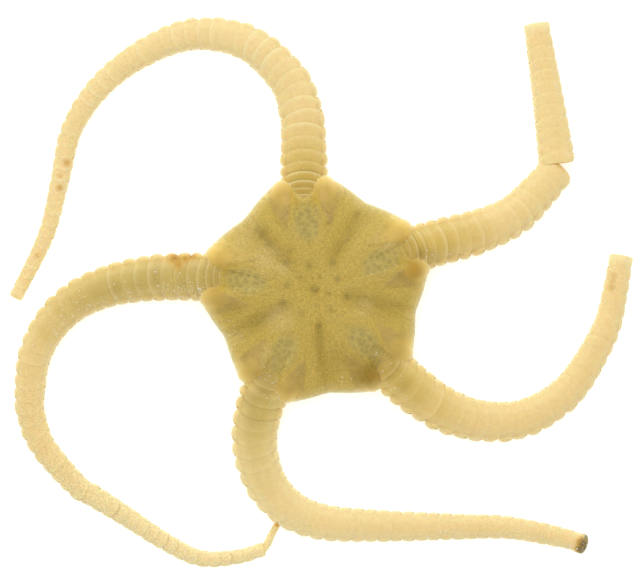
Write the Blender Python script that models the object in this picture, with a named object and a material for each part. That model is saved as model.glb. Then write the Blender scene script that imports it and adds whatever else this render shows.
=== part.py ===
"""A brittle star, preserved with its arms bent as it died, lying on its mouth side.

The origin is on the surface it lies on, under the middle of its outline. +Z is up, towards the back of
the animal, and +Y is the way arm_1 leaves the disc. Lengths are written in millimetres and turned into
metres by MM where the objects are made.
"""

import math

import bmesh
import bpy
from mathutils import Matrix, Vector

MM = 0.001
GAP = 0.3

# Disc
DISC_CENTRE = (-0.47, 0.0)
DISC_SIDE_RADIUS = 10.17
DISC_LOBE_RADIUS = 11.65
LOBE_TURN = 0.16
SIDE_SWELL_POWER = 1.38
DISC_BACK_HEIGHT = 5.0
DISC_EDGE_HEIGHT = 4.15
DISC_RIM_HEIGHT = 2.3
DISC_UNDER_HEIGHT = 0.45
FURROW_DEPTH = 0.55
CENTRE_DIP = 0.25
ARM_DIP = 0.75
MOUTH_FRAME_RADIUS = 5.3

# Mouth
MOUTH_RADIUS = 3.1
MOUTH_DEPTH = 1.3
JAW_TIP_RADIUS = 0.35
JAW_ROOT_RADIUS = 2.75
JAW_SLIT = 0.3
JAW_BOTTOM = 0.05
JAW_TOP = 0.95

# Arms: half the width at each distance from the arm's root, and the flat-bottomed section that it scales
ARM_TAPER = [
    (0.0, 2.0), (2.3, 2.31), (5.0, 2.3), (8.0, 2.21), (20.0, 1.71), (32.0, 1.26), (48.0, 0.86), (58.0, 0.65),
]
SECTION = [(0.42, 0.0), (0.9, 0.38), (1.0, 0.82), (0.68, 1.32), (0.0, 1.5)]
JOINT_PITCH_ROOT = 0.65
JOINT_PITCH_GAIN = 0.17
JOINT_PITCH_FULL = 1.36
JOINT_PITCH_LOSS = 0.004
NECK_WIDTH = 0.91
NECK_AT = 0.1
SHOULDER_AT = 0.78
BROKEN_END_WIDTH = 0.85

# Each arm's middle line, in millimetres from the origin, from its root to where it is broken off
ARM_ROUTES = {
    "arm_1": [
        (-1.64, 9.73), (-1.66, 12.5), (-1.75, 16.1), (-1.98, 17.95), (-3.28, 21.34), (-7.25, 24.9),
        (-12.6, 25.8), (-17.65, 24.0), (-22.0, 20.7), (-24.95, 16.3), (-26.2, 11.0), (-27.6, 5.6),
        (-30.65, -0.65),
    ],
    "arm_2": [(8.44, 4.0), (12.5, 5.12), (16.0, 6.1), (19.4, 7.7), (21.95, 10.15), (23.3, 11.8)],
    "arm_3": [
        (6.24, -7.07), (9.6, -10.0), (12.7, -11.95), (16.2, -12.95), (19.9, -12.8), (23.2, -11.25),
        (25.8, -8.75), (28.5, -4.0), (29.5, -0.3), (30.2, 3.65),
    ],
    "arm_4": [
        (-5.0, -8.4), (-6.35, -12.6), (-6.5, -15.9), (-5.35, -19.35), (-2.9, -21.9), (0.55, -23.15),
        (6.1, -23.5), (13.4, -23.6), (18.8, -23.7), (24.2, -24.7), (26.65, -25.45),
    ],
    "arm_5": [
        (-10.13, 1.4), (-14.1, 1.47), (-17.65, 1.25), (-21.3, 0.5), (-24.6, -1.0), (-27.1, -3.4),
        (-28.7, -6.6), (-29.16, -10.3), (-29.05, -12.2), (-27.85, -15.5), (-24.4, -19.5), (-22.65, -20.6),
        (-19.7, -22.45), (-15.2, -25.35), (-11.9, -26.8), (-8.3, -26.62), (-5.65, -25.85),
    ],
}
LENGTHS_OF_ARM = {"arm_1": 5, "arm_2": 2, "arm_3": 4, "arm_4": 4, "arm_5": 6}
ARM_GIRTH = {"arm_1": 1.0, "arm_2": 1.0, "arm_3": 1.02, "arm_4": 1.02, "arm_5": 1.02}

# The length that has broken off arm_2 and lies against it, and the thin new growth at the end of arm_5
BROKEN_LENGTH = [(23.7, 13.3), (22.78, 19.6), (21.65, 26.9)]
BROKEN_LENGTH_FROM_ROOT = 19.0
BROKEN_LENGTH_GIRTH = 1.06
NEW_TIP = [(-5.22, -25.1), (-4.9, -24.4), (-4.4, -23.4)]
NEW_TIP_HALF_WIDTHS = (0.37, 0.33)
NEW_TIP_RINGS = 5

# Sockets: how far each arm's socket runs out from its root, and its tall section, open above and below
SOCKET_REACH = [-0.3, 1.2, 2.3, 5.0]
SOCKET_SECTION = [(1.0, -0.4), (1.0, 3.2)]

# Fineness of the solids
ROUTE_STEPS = 24
SECTOR_STEPS = [0.0, 0.08, 0.14, 0.19, 0.25, 0.33, 0.41, 0.5, 0.59, 0.67, 0.75, 0.81, 0.86, 0.92]
DISC_RINGS = [0.0, 0.22, 0.45, 0.66, 0.82, 0.93, 0.985, 1.0]

COLOURS = {
    "disc": (0.42, 0.31, 0.11, 1.0),
    "arm": (0.78, 0.60, 0.30, 1.0),
    "mouth": (0.62, 0.48, 0.22, 1.0),
}


def clear_scene():
    for obj in list(bpy.data.objects):
        bpy.data.objects.remove(obj)


def new_collection(name):
    collection = bpy.data.collections.new(name)
    bpy.context.scene.collection.children.link(collection)
    return collection


def new_material(name, colour, roughness):
    material = bpy.data.materials.new(name)
    material.use_nodes = True
    shader = material.node_tree.nodes["Principled BSDF"]
    shader.inputs["Base Color"].default_value = colour
    shader.inputs["Roughness"].default_value = roughness
    shader.inputs["Metallic"].default_value = 0.0
    return material


def interpolate(stations, at):
    """The value at a distance, from a list of (distance, value)."""
    for (a, low), (b, high) in zip(stations, stations[1:]):
        if at <= b:
            share = max(0.0, (at - a) / (b - a))
            return low + (high - low) * share
    return stations[-1][1]


def smooth_step(low, high, value):
    t = min(1.0, max(0.0, (value - low) / (high - low)))
    return t * t * (3 - 2 * t)


# Routes


def smooth_route(points):
    """A curve through all the points, as points close together. It is a Catmull-Rom spline."""
    knots = [Vector(p).to_3d() for p in points]
    knots = [2 * knots[0] - knots[1]] + knots + [2 * knots[-1] - knots[-2]]
    line = []
    for a, b, c, d in zip(knots, knots[1:], knots[2:], knots[3:]):
        for step in range(ROUTE_STEPS):
            t = step / ROUTE_STEPS
            line.append(
                0.5 * (2 * b + (c - a) * t + (2 * a - 5 * b + 4 * c - d) * t**2 + (3 * b - a - 3 * c + d) * t**3)
            )
    line.append(knots[-2])
    return line


def distances(line):
    along = [0.0]
    for a, b in zip(line, line[1:]):
        along.append(along[-1] + (b - a).length)
    return along


def point_at(line, along, distance):
    """The point that far along the line, and beyond its ends in a straight line."""
    last = len(line) - 2
    i = next((k for k in range(last) if along[k + 1] >= distance), last)
    share = (distance - along[i]) / (along[i + 1] - along[i])
    return line[i].lerp(line[i + 1], share)


def joint_pitch(from_root):
    growing = JOINT_PITCH_ROOT + JOINT_PITCH_GAIN * from_root
    return min(growing, JOINT_PITCH_FULL - JOINT_PITCH_LOSS * from_root)


def joints_between(start, end, from_root):
    """Where each arm joint begins, the last one's end included, spread to fill the stretch evenly."""
    edges = [start]
    while edges[-1] < end:
        edges.append(edges[-1] + joint_pitch(edges[-1] + from_root))
    stretch = (end - start) / (edges[-1] - start)
    return [start + (edge - start) * stretch for edge in edges]


# Arms


def section_curve(name, half, guides):
    """A closed section from its right half, which runs from the underside up, and that half's mirror image."""
    mirrored = [(-x, y) for x, y in half if x > 0]
    outline = mirrored + half[::-1]
    curve = bpy.data.curves.new(name, "CURVE")
    curve.dimensions = "2D"
    spline = curve.splines.new("POLY")
    spline.points.add(len(outline) - 1)
    for point, (x, y) in zip(spline.points, outline):
        point.co = (x, y, 0.0, 1.0)
    spline.use_cyclic_u = True
    obj = bpy.data.objects.new(name, curve)
    obj.hide_render = True
    obj.display_type = "WIRE"
    guides.objects.link(obj)
    return obj


def swept_length(name, points, half_widths, section, collection, material):
    """A length of arm: the section swept along the points, which lie on the ground, at these half widths."""
    curve = bpy.data.curves.new(name, "CURVE")
    curve.dimensions = "3D"
    curve.twist_mode = "Z_UP"
    curve.bevel_mode = "OBJECT"
    curve.bevel_object = section
    curve.use_fill_caps = True
    spline = curve.splines.new("POLY")
    spline.points.add(len(points) - 1)
    for knot, point, half_width in zip(spline.points, points, half_widths):
        knot.co = (*(point * MM), 1.0)
        knot.radius = half_width * MM
    obj = bpy.data.objects.new(name, curve)
    curve.materials.append(material)
    collection.objects.link(obj)
    return obj


def arm_rings(joints, from_root, girth, first, last):
    """Where the sections stand, with their half widths: each joint has a narrow neck, then a wide shoulder."""
    rings = []
    for begin, end in zip(joints[first:last], joints[first + 1 : last + 1]):
        for share, width in ((NECK_AT, NECK_WIDTH), (SHOULDER_AT, 1.0)):
            at = begin + (end - begin) * share
            rings.append((at, girth * width * interpolate(ARM_TAPER, at + from_root)))
    start = joints[first] + (GAP / 2 if first else 0.0)
    finish = joints[last] - (GAP / 2 if last < len(joints) - 1 else 0.0)
    inner = [ring for ring in rings if start + GAP / 3 < ring[0] < finish - GAP / 3]
    closing = BROKEN_END_WIDTH if last == len(joints) - 1 else 1.0
    return [(start, rings[0][1]), *inner, (finish, rings[-1][1] * closing)]


def make_arm(name, section, collection, material):
    line = smooth_route(ARM_ROUTES[name])
    along = distances(line)
    joints = joints_between(0.0, along[-1], 0.0)
    count = LENGTHS_OF_ARM[name]
    cuts = [round(k * (len(joints) - 1) / count) for k in range(count + 1)]
    for number, (first, last) in enumerate(zip(cuts, cuts[1:]), start=1):
        rings = arm_rings(joints, 0.0, ARM_GIRTH[name], first, last)
        points = [point_at(line, along, at) for at, _ in rings]
        swept_length(f"{name}_length_{number}", points, [w for _, w in rings], section, collection, material)


def make_broken_length(section, collection, material):
    line = smooth_route(BROKEN_LENGTH)
    along = distances(line)
    joints = joints_between(0.0, along[-1], BROKEN_LENGTH_FROM_ROOT)
    rings = arm_rings(joints, BROKEN_LENGTH_FROM_ROOT, BROKEN_LENGTH_GIRTH, 0, len(joints) - 1)
    points = [point_at(line, along, at) for at, _ in rings]
    swept_length("arm_2_broken_length", points, [w for _, w in rings], section, collection, material)


def make_new_tip(section, collection, material):
    line = smooth_route(NEW_TIP)
    along = distances(line)
    shares = [k / (NEW_TIP_RINGS - 1) for k in range(NEW_TIP_RINGS)]
    points = [point_at(line, along, share * along[-1]) for share in shares]
    wide, narrow = NEW_TIP_HALF_WIDTHS
    widths = [wide + (narrow - wide) * share for share in shares]
    swept_length("arm_5_new_tip", points, widths, section, collection, material)


# Disc


def arm_headings():
    """The angle at which each arm leaves the disc, in counterclockwise order."""
    headings = []
    for name, route in ARM_ROUTES.items():
        x, y = route[0]
        headings.append((math.atan2(y - DISC_CENTRE[1], x - DISC_CENTRE[0]) % math.tau, name))
    return sorted(headings)


def sectors():
    """Each (heading of an arm, angle round to the next arm)."""
    angles = [angle for angle, _ in arm_headings()]
    following = angles[1:] + [angles[0] + math.tau]
    return [(a, b - a) for a, b in zip(angles, following)]


def disc_radius(turn):
    """The outline's radius at a share of the way from one arm to the next: nearly straight between two lobes."""
    swell = min(1.0, abs(turn - 0.5) / (0.5 - LOBE_TURN)) ** SIDE_SWELL_POWER
    return DISC_SIDE_RADIUS + (DISC_LOBE_RADIUS - DISC_SIDE_RADIUS) * swell


def disc_back(share, turn):
    """Height of the back at a share of the radius: domed, furrowed between the arms, low over each arm."""
    dome = DISC_BACK_HEIGHT + (DISC_EDGE_HEIGHT - DISC_BACK_HEIGHT) * share**3
    furrow = FURROW_DEPTH * math.sin(math.pi * turn) ** 4 * smooth_step(0.15, 0.5, share)
    dip = CENTRE_DIP * (1 - smooth_step(0.0, 0.4, share))
    to_arm = 0.5 - abs(turn - 0.5)
    over_arm = ARM_DIP * (1 - smooth_step(0.0, LOBE_TURN, to_arm)) * smooth_step(0.6, 1.0, share)
    return dome - furrow - dip - over_arm


def disc_under(share, radius):
    """Height of the mouth side: flat on the ground round the mouth, then rising a little to the rim."""
    return DISC_UNDER_HEIGHT * smooth_step(MOUTH_FRAME_RADIUS, DISC_SIDE_RADIUS, share * radius)


def make_disc(collection, material):
    """A sphere's rings, moved to the outline and heights of the disc. Its poles are the middles of both faces."""
    steps = [(heading + turn * round_, turn) for heading, round_ in sectors() for turn in SECTOR_STEPS]
    ring_count = 2 * (len(DISC_RINGS) - 1)
    mesh = bpy.data.meshes.new("disc")
    shape = bmesh.new()
    bmesh.ops.create_uvsphere(shape, u_segments=len(steps), v_segments=ring_count, radius=1.0)
    for vertex in shape.verts:
        polar = math.acos(max(-1.0, min(1.0, vertex.co.z)))
        ring = round(polar / math.pi * ring_count)
        on_back = ring < len(DISC_RINGS)
        share = DISC_RINGS[ring if on_back else ring_count - ring]
        column = round(math.atan2(vertex.co.y, vertex.co.x) % math.tau / math.tau * len(steps)) % len(steps)
        angle, turn = steps[column]
        radius = disc_radius(turn)
        face = disc_back(share, turn) if on_back else disc_under(share, radius)
        height = DISC_RIM_HEIGHT + (face - DISC_RIM_HEIGHT) * (1 - share**7) ** 0.5
        vertex.co = Vector(
            (
                DISC_CENTRE[0] + share * radius * math.cos(angle),
                DISC_CENTRE[1] + share * radius * math.sin(angle),
                height,
            )
        )
        vertex.co *= MM
    shape.to_mesh(mesh)
    shape.free()
    mesh.materials.append(material)
    disc = bpy.data.objects.new("disc", mesh)
    collection.objects.link(disc)
    return disc


def as_mesh_cutter(obj, cutters):
    """A closed mesh in place of a curve object, for Booleans."""
    graph = bpy.context.evaluated_depsgraph_get()
    mesh = bpy.data.meshes.new_from_object(obj.evaluated_get(graph))
    shape = bmesh.new()
    shape.from_mesh(mesh)
    bmesh.ops.remove_doubles(shape, verts=shape.verts, dist=GAP * MM / 100)
    bmesh.ops.recalc_face_normals(shape, faces=shape.faces)
    shape.to_mesh(mesh)
    shape.free()
    cutter = bpy.data.objects.new(obj.name + "_cutter", mesh)
    cutter.matrix_world = obj.matrix_world
    cutter.hide_render = True
    cutter.display_type = "WIRE"
    cutters.objects.link(cutter)
    bpy.data.objects.remove(obj)
    return cutter


def cut(target, cutter):
    modifier = target.modifiers.new("cut_" + cutter.name, "BOOLEAN")
    modifier.operation = "DIFFERENCE"
    modifier.solver = "EXACT"
    modifier.object = cutter


def cut_sockets(disc, section, cutters, material):
    """The notch in the rim that each arm's root stands in, a gap wider than the arm."""
    for name, route in ARM_ROUTES.items():
        line = smooth_route(route)
        along = distances(line)
        points = [point_at(line, along, at) for at in SOCKET_REACH]
        widths = [interpolate(ARM_TAPER, at) * ARM_GIRTH[name] + GAP for at in SOCKET_REACH]
        socket = swept_length(f"{name}_socket", points, widths, section, cutters, material)
        cut(disc, as_mesh_cutter(socket, cutters))


# Mouth


def wedge(name, outline, bottom, top, collection, material):
    """A flat outline, raised from one height to another. It stands off the origin by its location."""
    curve = bpy.data.curves.new(name, "CURVE")
    curve.dimensions = "2D"
    curve.fill_mode = "BOTH"
    curve.extrude = (top - bottom) / 2 * MM
    spline = curve.splines.new("POLY")
    spline.points.add(len(outline) - 1)
    for point, (x, y) in zip(spline.points, outline):
        point.co = (x * MM, y * MM, 0.0, 1.0)
    spline.use_cyclic_u = True
    curve.materials.append(material)
    obj = bpy.data.objects.new(name, curve)
    obj.matrix_world = Matrix.Translation(Vector((*DISC_CENTRE, (bottom + top) / 2)) * MM)
    collection.objects.link(obj)
    return obj


def polar_point(radius, angle):
    return (radius * math.cos(angle), radius * math.sin(angle))


def cut_mouth(disc, cutters, material):
    outline = [polar_point(MOUTH_RADIUS, math.tau * k / 30) for k in range(30)]
    recess = wedge("mouth_recess", outline, -1.0, MOUTH_DEPTH, cutters, material)
    bpy.context.view_layer.update()
    cut(disc, as_mesh_cutter(recess, cutters))


def make_jaws(collection, material):
    """Five jaws that point at the middle of the mouth, one between each two arms, with a slit between them."""
    for number, (heading, round_) in enumerate(sectors(), start=1):
        middle = heading + round_ / 2
        tip_half = (round_ / 2) - math.asin(JAW_SLIT / 2 / JAW_TIP_RADIUS)
        root_half = (round_ / 2) - math.asin(JAW_SLIT / JAW_ROOT_RADIUS)
        outline = [polar_point(JAW_TIP_RADIUS, middle + tip_half * side) for side in (1, 0, -1)]
        outline += [polar_point(JAW_ROOT_RADIUS, middle + root_half * side) for side in (-1, -0.4, 0.4, 1)]
        wedge(f"jaw_{number}", outline, JAW_BOTTOM, JAW_TOP, collection, material)


def main():
    clear_scene()
    parts = new_collection("brittle_star")
    helpers = new_collection("cutters_and_guides")
    disc_skin = new_material("disc_skin", COLOURS["disc"], 0.5)
    arm_plates = new_material("arm_plates", COLOURS["arm"], 0.45)
    mouth_parts = new_material("mouth_parts", COLOURS["mouth"], 0.5)
    section = section_curve("arm_section", SECTION, helpers)
    socket_section = section_curve("socket_section", SOCKET_SECTION, helpers)
    disc = make_disc(parts, disc_skin)
    cut_sockets(disc, socket_section, helpers, arm_plates)
    cut_mouth(disc, helpers, mouth_parts)
    make_jaws(parts, mouth_parts)
    for name in ARM_ROUTES:
        make_arm(name, section, parts, arm_plates)
    make_broken_length(section, parts, arm_plates)
    make_new_tip(section, parts, arm_plates)


main()
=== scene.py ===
"""A preserved brittle star lying mouth side down, seen square from above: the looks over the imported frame.

One skin stands for the disc and every length of arm. It is worked out as points in millimetres, in the
frame's own axes, from the same middle lines as the frame. Granules, spines, scales and mouth parts are
joined meshes that sit on that skin and take their colours from the same masks.
"""

import math

import bpy
import numpy as np
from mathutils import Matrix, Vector
from mathutils.bvhtree import BVHTree
from mathutils.kdtree import KDTree


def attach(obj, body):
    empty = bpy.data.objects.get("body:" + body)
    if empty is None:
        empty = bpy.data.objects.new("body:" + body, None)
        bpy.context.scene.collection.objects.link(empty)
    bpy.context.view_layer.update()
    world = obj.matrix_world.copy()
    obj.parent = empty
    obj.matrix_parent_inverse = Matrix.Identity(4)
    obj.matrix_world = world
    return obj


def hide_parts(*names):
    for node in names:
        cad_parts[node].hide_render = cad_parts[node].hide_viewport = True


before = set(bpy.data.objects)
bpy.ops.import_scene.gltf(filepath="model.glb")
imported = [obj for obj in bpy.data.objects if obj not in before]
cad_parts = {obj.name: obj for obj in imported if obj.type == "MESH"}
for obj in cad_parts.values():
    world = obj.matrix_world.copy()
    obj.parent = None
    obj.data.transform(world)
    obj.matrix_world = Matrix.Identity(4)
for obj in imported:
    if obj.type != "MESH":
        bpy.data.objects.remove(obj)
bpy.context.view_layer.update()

MM = 0.001
rng = np.random.default_rng(5)

# Camera, floor and lights, in metres. Each light has its place, its size and its power
VIEW_CENTRE = (-0.00005, 0.0002)
VIEW_WIDTH = 0.0640
VIEW_HEIGHT_OF_SUBJECT = 0.002
CAMERA_HEIGHT = 0.36
SENSOR_WIDTH = 36.0
FLOOR_SIZE = 1.6
LIGHTS = {
    "key_from_behind": ((-0.08, 0.42, 0.42), 0.30, 0.95),
    "overhead": ((-0.05, 0.05, 0.75), 0.55, 1.5),
}
WORLD_LIGHT = 0.55

# The disc
DISC_CENTRE = np.array([-0.47, 0.0])
SIDE_RADIUS = 10.17
LOBE_RADIUS = 11.65
MEAN_RADIUS = 10.8
LOBE_TURN = 0.16
SIDE_SWELL_POWER = 1.38
LOBE_CENTRE = (10.35, 2.1)
LOBE_ROUND = 1.1
BACK_HEIGHT = 5.0
EDGE_HEIGHT = 4.15
RIM_HEIGHT = 2.3
RIM_POWER = 7
UNDER_HEIGHT = (0.22, 0.6)
CENTRE_DIP = 0.25
GAP_DIP = 0.34
FURROW_DEPTH = 0.17
MOUTH_RADIUS = 3.0
MOUTH_DEPTH = 1.3
MOUTH_SHIELD = (5.0, 1.05, 0.95)
SLIT_REACH = (5.2, 9.4)
ARM_ROOT = 10.2
DISC_COLUMNS = 480
DISC_FLAT_SHARE = 0.86
DISC_FLAT_RINGS = 70
DISC_ROUND_RINGS = 20
DISC_UNDER_RINGS = 44
PETAL_MIDDLE = 7.25
PETAL_HALF_LENGTH = 2.5
PETAL_HALF_WIDTH = 1.4
SHIELD_TIP = (6.1, 2.2)
SHIELD_SLOPES = (-0.28, 0.47)
SHIELD_RISE = 0.10
STREAK_TURNS = 240
STREAK_RINGS = 8
STREAK_LENGTH = 1.6

# Arms: the half width along each one, the shape of the section and the joints, as in the frame
ARM_TAPER = [
    (-6.5, 1.0), (-3.0, 1.7), (0.0, 2.15), (2.3, 2.27), (5.0, 2.24), (8.0, 2.15), (20.0, 1.67),
    (32.0, 1.22), (48.0, 0.83), (58.0, 0.64),
]
ARM_HEIGHT = 1.5
SECTION_MIDDLE = 0.48
SECTION_POWERS = (2.2, 3.4)
JOINT_PITCH_ROOT = 0.65
JOINT_PITCH_GAIN = 0.17
JOINT_PITCH_FULL = 1.36
JOINT_PITCH_LOSS = 0.004
INNER_PITCH = 0.72
INNER_LENGTH = 6.2
ROUTE_STEPS = 24

# Plates on an arm's joints. Angles are in degrees round its section, other sizes in half widths, and the rows
# of points in shares of a joint. Even columns nearer to a seam than SEAM_CLEAR make way for its own
BACK_PLATE_ANGLE = 40.0
UNDER_PLATE_ANGLE = 52.0
BACK_SEAM = 90 - BACK_PLATE_ANGLE
SEAM_NEARBY = (-2.4, -0.8, 0.8, 2.4)
SEAM_CLEAR = 4.0
PLATE_BOW = 0.34
BACK_STEP = (0.023, 0.010)
SIDE_BULGE = 0.19
SEAM_DEPTH = 0.008
JOINT_ROWS = (0.0, 0.035, 0.11, 0.24, 0.4, 0.56, 0.72, 0.84, 0.93, 0.985)
SECTION_COLUMNS = 44

# Rings that turn in the end of an arm: their shares of the section and how far out they lie, in half widths
BROKEN_END = ((0.94, 0.03), (0.84, 0.01), (0.74, -0.10), (0.60, -0.14))
DOMED_END = ((0.95, 0.10), (0.84, 0.19), (0.66, 0.26), (0.36, 0.31))

# What sits on the skin, in millimetres. Spines and scales are in shares of a joint's length and of an arm's
# half width. Profiles give shares of a body's length with shares of its section, and end at its tip. Granules
# lie in rings that are GRANULE_ROW_PITCH of their spacing apart, and are left out where they would be further
# than GRANULE_OFF_SKIN from the skin. Each jaw takes up JAW_SHARE of its gap
GRANULE_SPACING = 0.188
GRANULE_RADIUS = 0.092
GRANULE_RISE = 0.058
GRANULE_OFF_SKIN = 0.035
GRANULE_JITTER = 0.2
GRANULE_ROW_PITCH = 0.87
UNDER_GRANULES_FROM = 0.45
GRANULE_PROFILE = ((-0.8, 1.0), (0.5, 0.78), (1.0, 0.0))
SPINE_PROFILE = ((-0.12, 0.7), (0.15, 1.0), (0.55, 0.95), (0.85, 0.62), (1.0, 0.0))
SCALE_PROFILE = ((-0.15, 0.8), (0.25, 1.0), (0.75, 0.8), (1.0, 0.0))
CRUMB_PROFILE = ((-0.3, 1.0), (0.6, 0.8), (1.0, 0.0))
SPINES = {
    "angles": (-50.0, -40.0, -30.0, -20.0, -10.0), "at": 0.9, "length": 0.32, "half_width": 0.05,
    "half_thick": 0.03, "lifts": (-0.02, 0.02), "profile": SPINE_PROFILE,
}
SCALES = {
    "angles": (-58.0, -47.0), "at": 0.55, "length": 0.26, "half_width": 0.075, "half_thick": 0.02,
    "lifts": (0.01, 0.02), "profile": SCALE_PROFILE,
}
PAPILLA_STATIONS = (1.0, 1.45, 1.9, 2.35)
PAPILLA_HEIGHT = 0.28
PAPILLA_LENGTH = 0.32
PAPILLA_INSET = 0.12
PAPILLA_HALF_WIDTH = 0.16
PAPILLA_HALF_THICK = 0.09
JAW_SHARE = 0.80
TOOTH_HEIGHTS = (0.25, 0.5, 0.75)
TOOTH_STATION = 0.62
TOOTH_LENGTH = 0.34
CRUMBS = 1500
CRUMB_TRIES = 3
CRUMBS_FROM = 1.5
CRUMB_SHARES = {"arm_5": 0.45, "arm_4": 0.22, "arm_3": 0.12, "arm_1": 0.13, "arm_2": 0.04, "broken": 0.04}
DISC_CRUMBS = 90
DISC_CRUMB_ARC = (195.0, 345.0)
CRUMB_SIZES = (0.02, 0.05)
CRUST_GRAINS = 420
CRUST_SIZES = (0.025, 0.065)
CRUST_DEPTH = 0.45

# Each arm's middle line from its root to its broken end, its girth, between which distances the darker
# colour of its root fades out, how grey that colour is, how speckled the arm is, how crisp its plates' edges
# are, where and how much it turns paler, and how far out the disc reaches over it and how deep it dips
# there. Some also have joints with a dark seam, sides that are less scalloped, a paler end or a domed one
ARMS = {
    "arm_1": {
        "route": [
            (-1.64, 9.73), (-1.66, 12.5), (-1.75, 16.1), (-1.98, 17.95), (-3.28, 21.34), (-7.25, 24.9),
            (-12.6, 25.8), (-17.65, 24.0), (-22.0, 20.7), (-24.95, 16.3), (-26.2, 11.0), (-27.6, 5.6),
            (-30.65, -0.65),
        ],
        "girth": 1.0, "fade": (1.5, 9.5), "grey": 0.1, "speckled": 0.55, "crisp": 0.9,
        "bleached": (4.0, 20.0, 0.2), "notch": (9.9, 0.45), "dark_joints": (2.3,), "pale_end": 0.3,
    },
    "arm_2": {
        "route": [(8.44, 4.0), (12.5, 5.12), (16.0, 6.1), (19.4, 7.7), (21.95, 10.15), (23.75, 12.25)],
        "girth": 1.0, "fade": (2.0, 12.0), "grey": 0.1, "speckled": 0.3, "crisp": 0.35,
        "bleached": (6.0, 20.0, 0.1), "notch": (10.7, 0.85), "dark_joints": (1.5, 2.2), "domed": True,
    },
    "arm_3": {
        "route": [
            (6.24, -7.07), (9.6, -10.0), (12.7, -11.95), (16.2, -12.95), (19.9, -12.8), (23.2, -11.25),
            (25.8, -8.75), (28.5, -4.0), (29.5, -0.3), (30.2, 3.65),
        ],
        "girth": 1.02, "fade": (0.5, 13.0), "grey": 0.2, "speckled": 0.35, "crisp": 0.15,
        "bleached": (14.0, 36.0, 0.1), "notch": (10.7, 0.85), "dark_joints": (1.6,), "pale_end": 0.45,
    },
    "arm_4": {
        "route": [
            (-5.0, -8.4), (-6.35, -12.6), (-6.5, -15.9), (-5.35, -19.35), (-2.9, -21.9), (0.55, -23.15),
            (6.1, -23.5), (13.4, -23.6), (18.8, -23.7), (24.2, -24.7), (26.42, -25.38),
        ],
        "girth": 1.02, "fade": (1.0, 16.0), "grey": 0.8, "speckled": 0.45, "crisp": 0.05,
        "bleached": (3.0, 10.0, 0.15), "notch": (10.3, 0.75), "dark_joints": (1.5, 3.5, 4.8), "domed": True,
    },
    "arm_5": {
        "route": [
            (-10.13, 1.4), (-14.1, 1.47), (-17.65, 1.25), (-21.3, 0.5), (-24.6, -1.0), (-27.1, -3.4),
            (-28.7, -6.6), (-29.16, -10.3), (-29.05, -12.2), (-27.85, -15.5), (-24.4, -19.5),
            (-22.65, -20.6), (-19.7, -22.45), (-15.2, -25.35), (-11.9, -26.8), (-8.3, -26.62),
            (-5.65, -25.85),
        ],
        "girth": 1.02, "fade": (6.0, 26.0), "grey": 0.75, "speckled": 1.0, "crisp": 0.35,
        "bleached": (26.0, 46.0, 0.4), "notch": (10.6, 0.85),
    },
}
BROKEN_LENGTH = {
    "route": [(23.72, 12.85), (22.78, 19.6), (21.65, 26.9)],
    "girth": 1.06, "fade": (-2.0, -1.0), "grey": 0.0, "speckled": 0.3, "crisp": 0.5, "scalloped": 0.65,
    "bleached": (5.0, 25.0, 0.1), "pale_end": 0.45,
}
BROKEN_FROM_ROOT = 19.0
NEW_TIP = {
    "route": [(-5.9, -26.05), (-5.36, -25.35), (-4.95, -24.5), (-4.3, -23.3)],
    "girth": 1.0, "fade": (-2.0, -1.0), "grey": 0.0, "speckled": 1.0, "crisp": 0.4,
    "bleached": (30.0, 40.0, 0.4),
}
NEW_TIP_FROM_ROOT = 40.0
NEW_TIP_HALF_WIDTHS = (0.42, 0.33)
NEW_TIP_PITCH = 0.42

# Round patches of colour: x, y, radius and strength. First the darker plates of the disc's back
DARK_PLATES = [
    (-0.72, 0.23, 0.46, 0.65), (-1.13, 2.57, 0.36, 0.9), (1.7, 1.23, 0.36, 0.9), (1.03, -1.77, 0.38, 0.7),
    (-1.97, -2.22, 0.38, 0.7), (-3.3, 0.65, 0.36, 0.8), (-0.05, 1.48, 0.24, 0.7), (-1.97, 1.4, 0.26, 0.7),
    (0.87, -0.27, 0.24, 0.7), (-0.47, -1.52, 0.24, 0.5), (-3.47, 2.9, 0.4, 0.8), (2.62, -0.52, 0.36, 1.0),
    (-0.13, -3.43, 0.36, 0.9), (-3.72, -1.18, 0.4, 0.9), (1.28, 2.82, 0.42, 0.7), (-5.05, 4.82, 0.4, 0.7),
    (-5.72, 5.65, 0.5, 0.7), (-6.22, 6.32, 0.3, 0.5), (3.53, 7.65, 0.4, 0.4), (0.78, 6.82, 0.3, 0.6),
    (-1.65, 5.9, 0.34, 0.6), (-3.0, 4.0, 0.36, 0.5),
]

# Brown stains
STAINS = [
    (-14.5, 3.3, 0.7, 0.7), (-14.15, 2.65, 0.5, 0.68), (-13.5, 3.2, 0.45, 0.62), (-12.8, 3.55, 0.45, 0.6),
    (-25.4, 12.9, 0.42, 0.5), (-26.1, 11.6, 0.3, 0.3), (-26.15, 10.35, 0.32, 0.6), (-28.4, 3.6, 0.3, 0.35),
    (29.32, 1.6, 0.36, 0.34), (29.22, 1.05, 0.34, 0.36), (29.1, 0.4, 0.4, 0.4), (9.3, 2.1, 0.9, 0.3),
    (26.3, -25.3, 0.5, 2.0), (26.05, -25.8, 0.45, 1.4), (-30.6, -0.55, 0.4, 0.25),
    (-4.35, -23.45, 0.25, 0.6), (5.4, -8.5, 0.9, 0.16),
]

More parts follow.
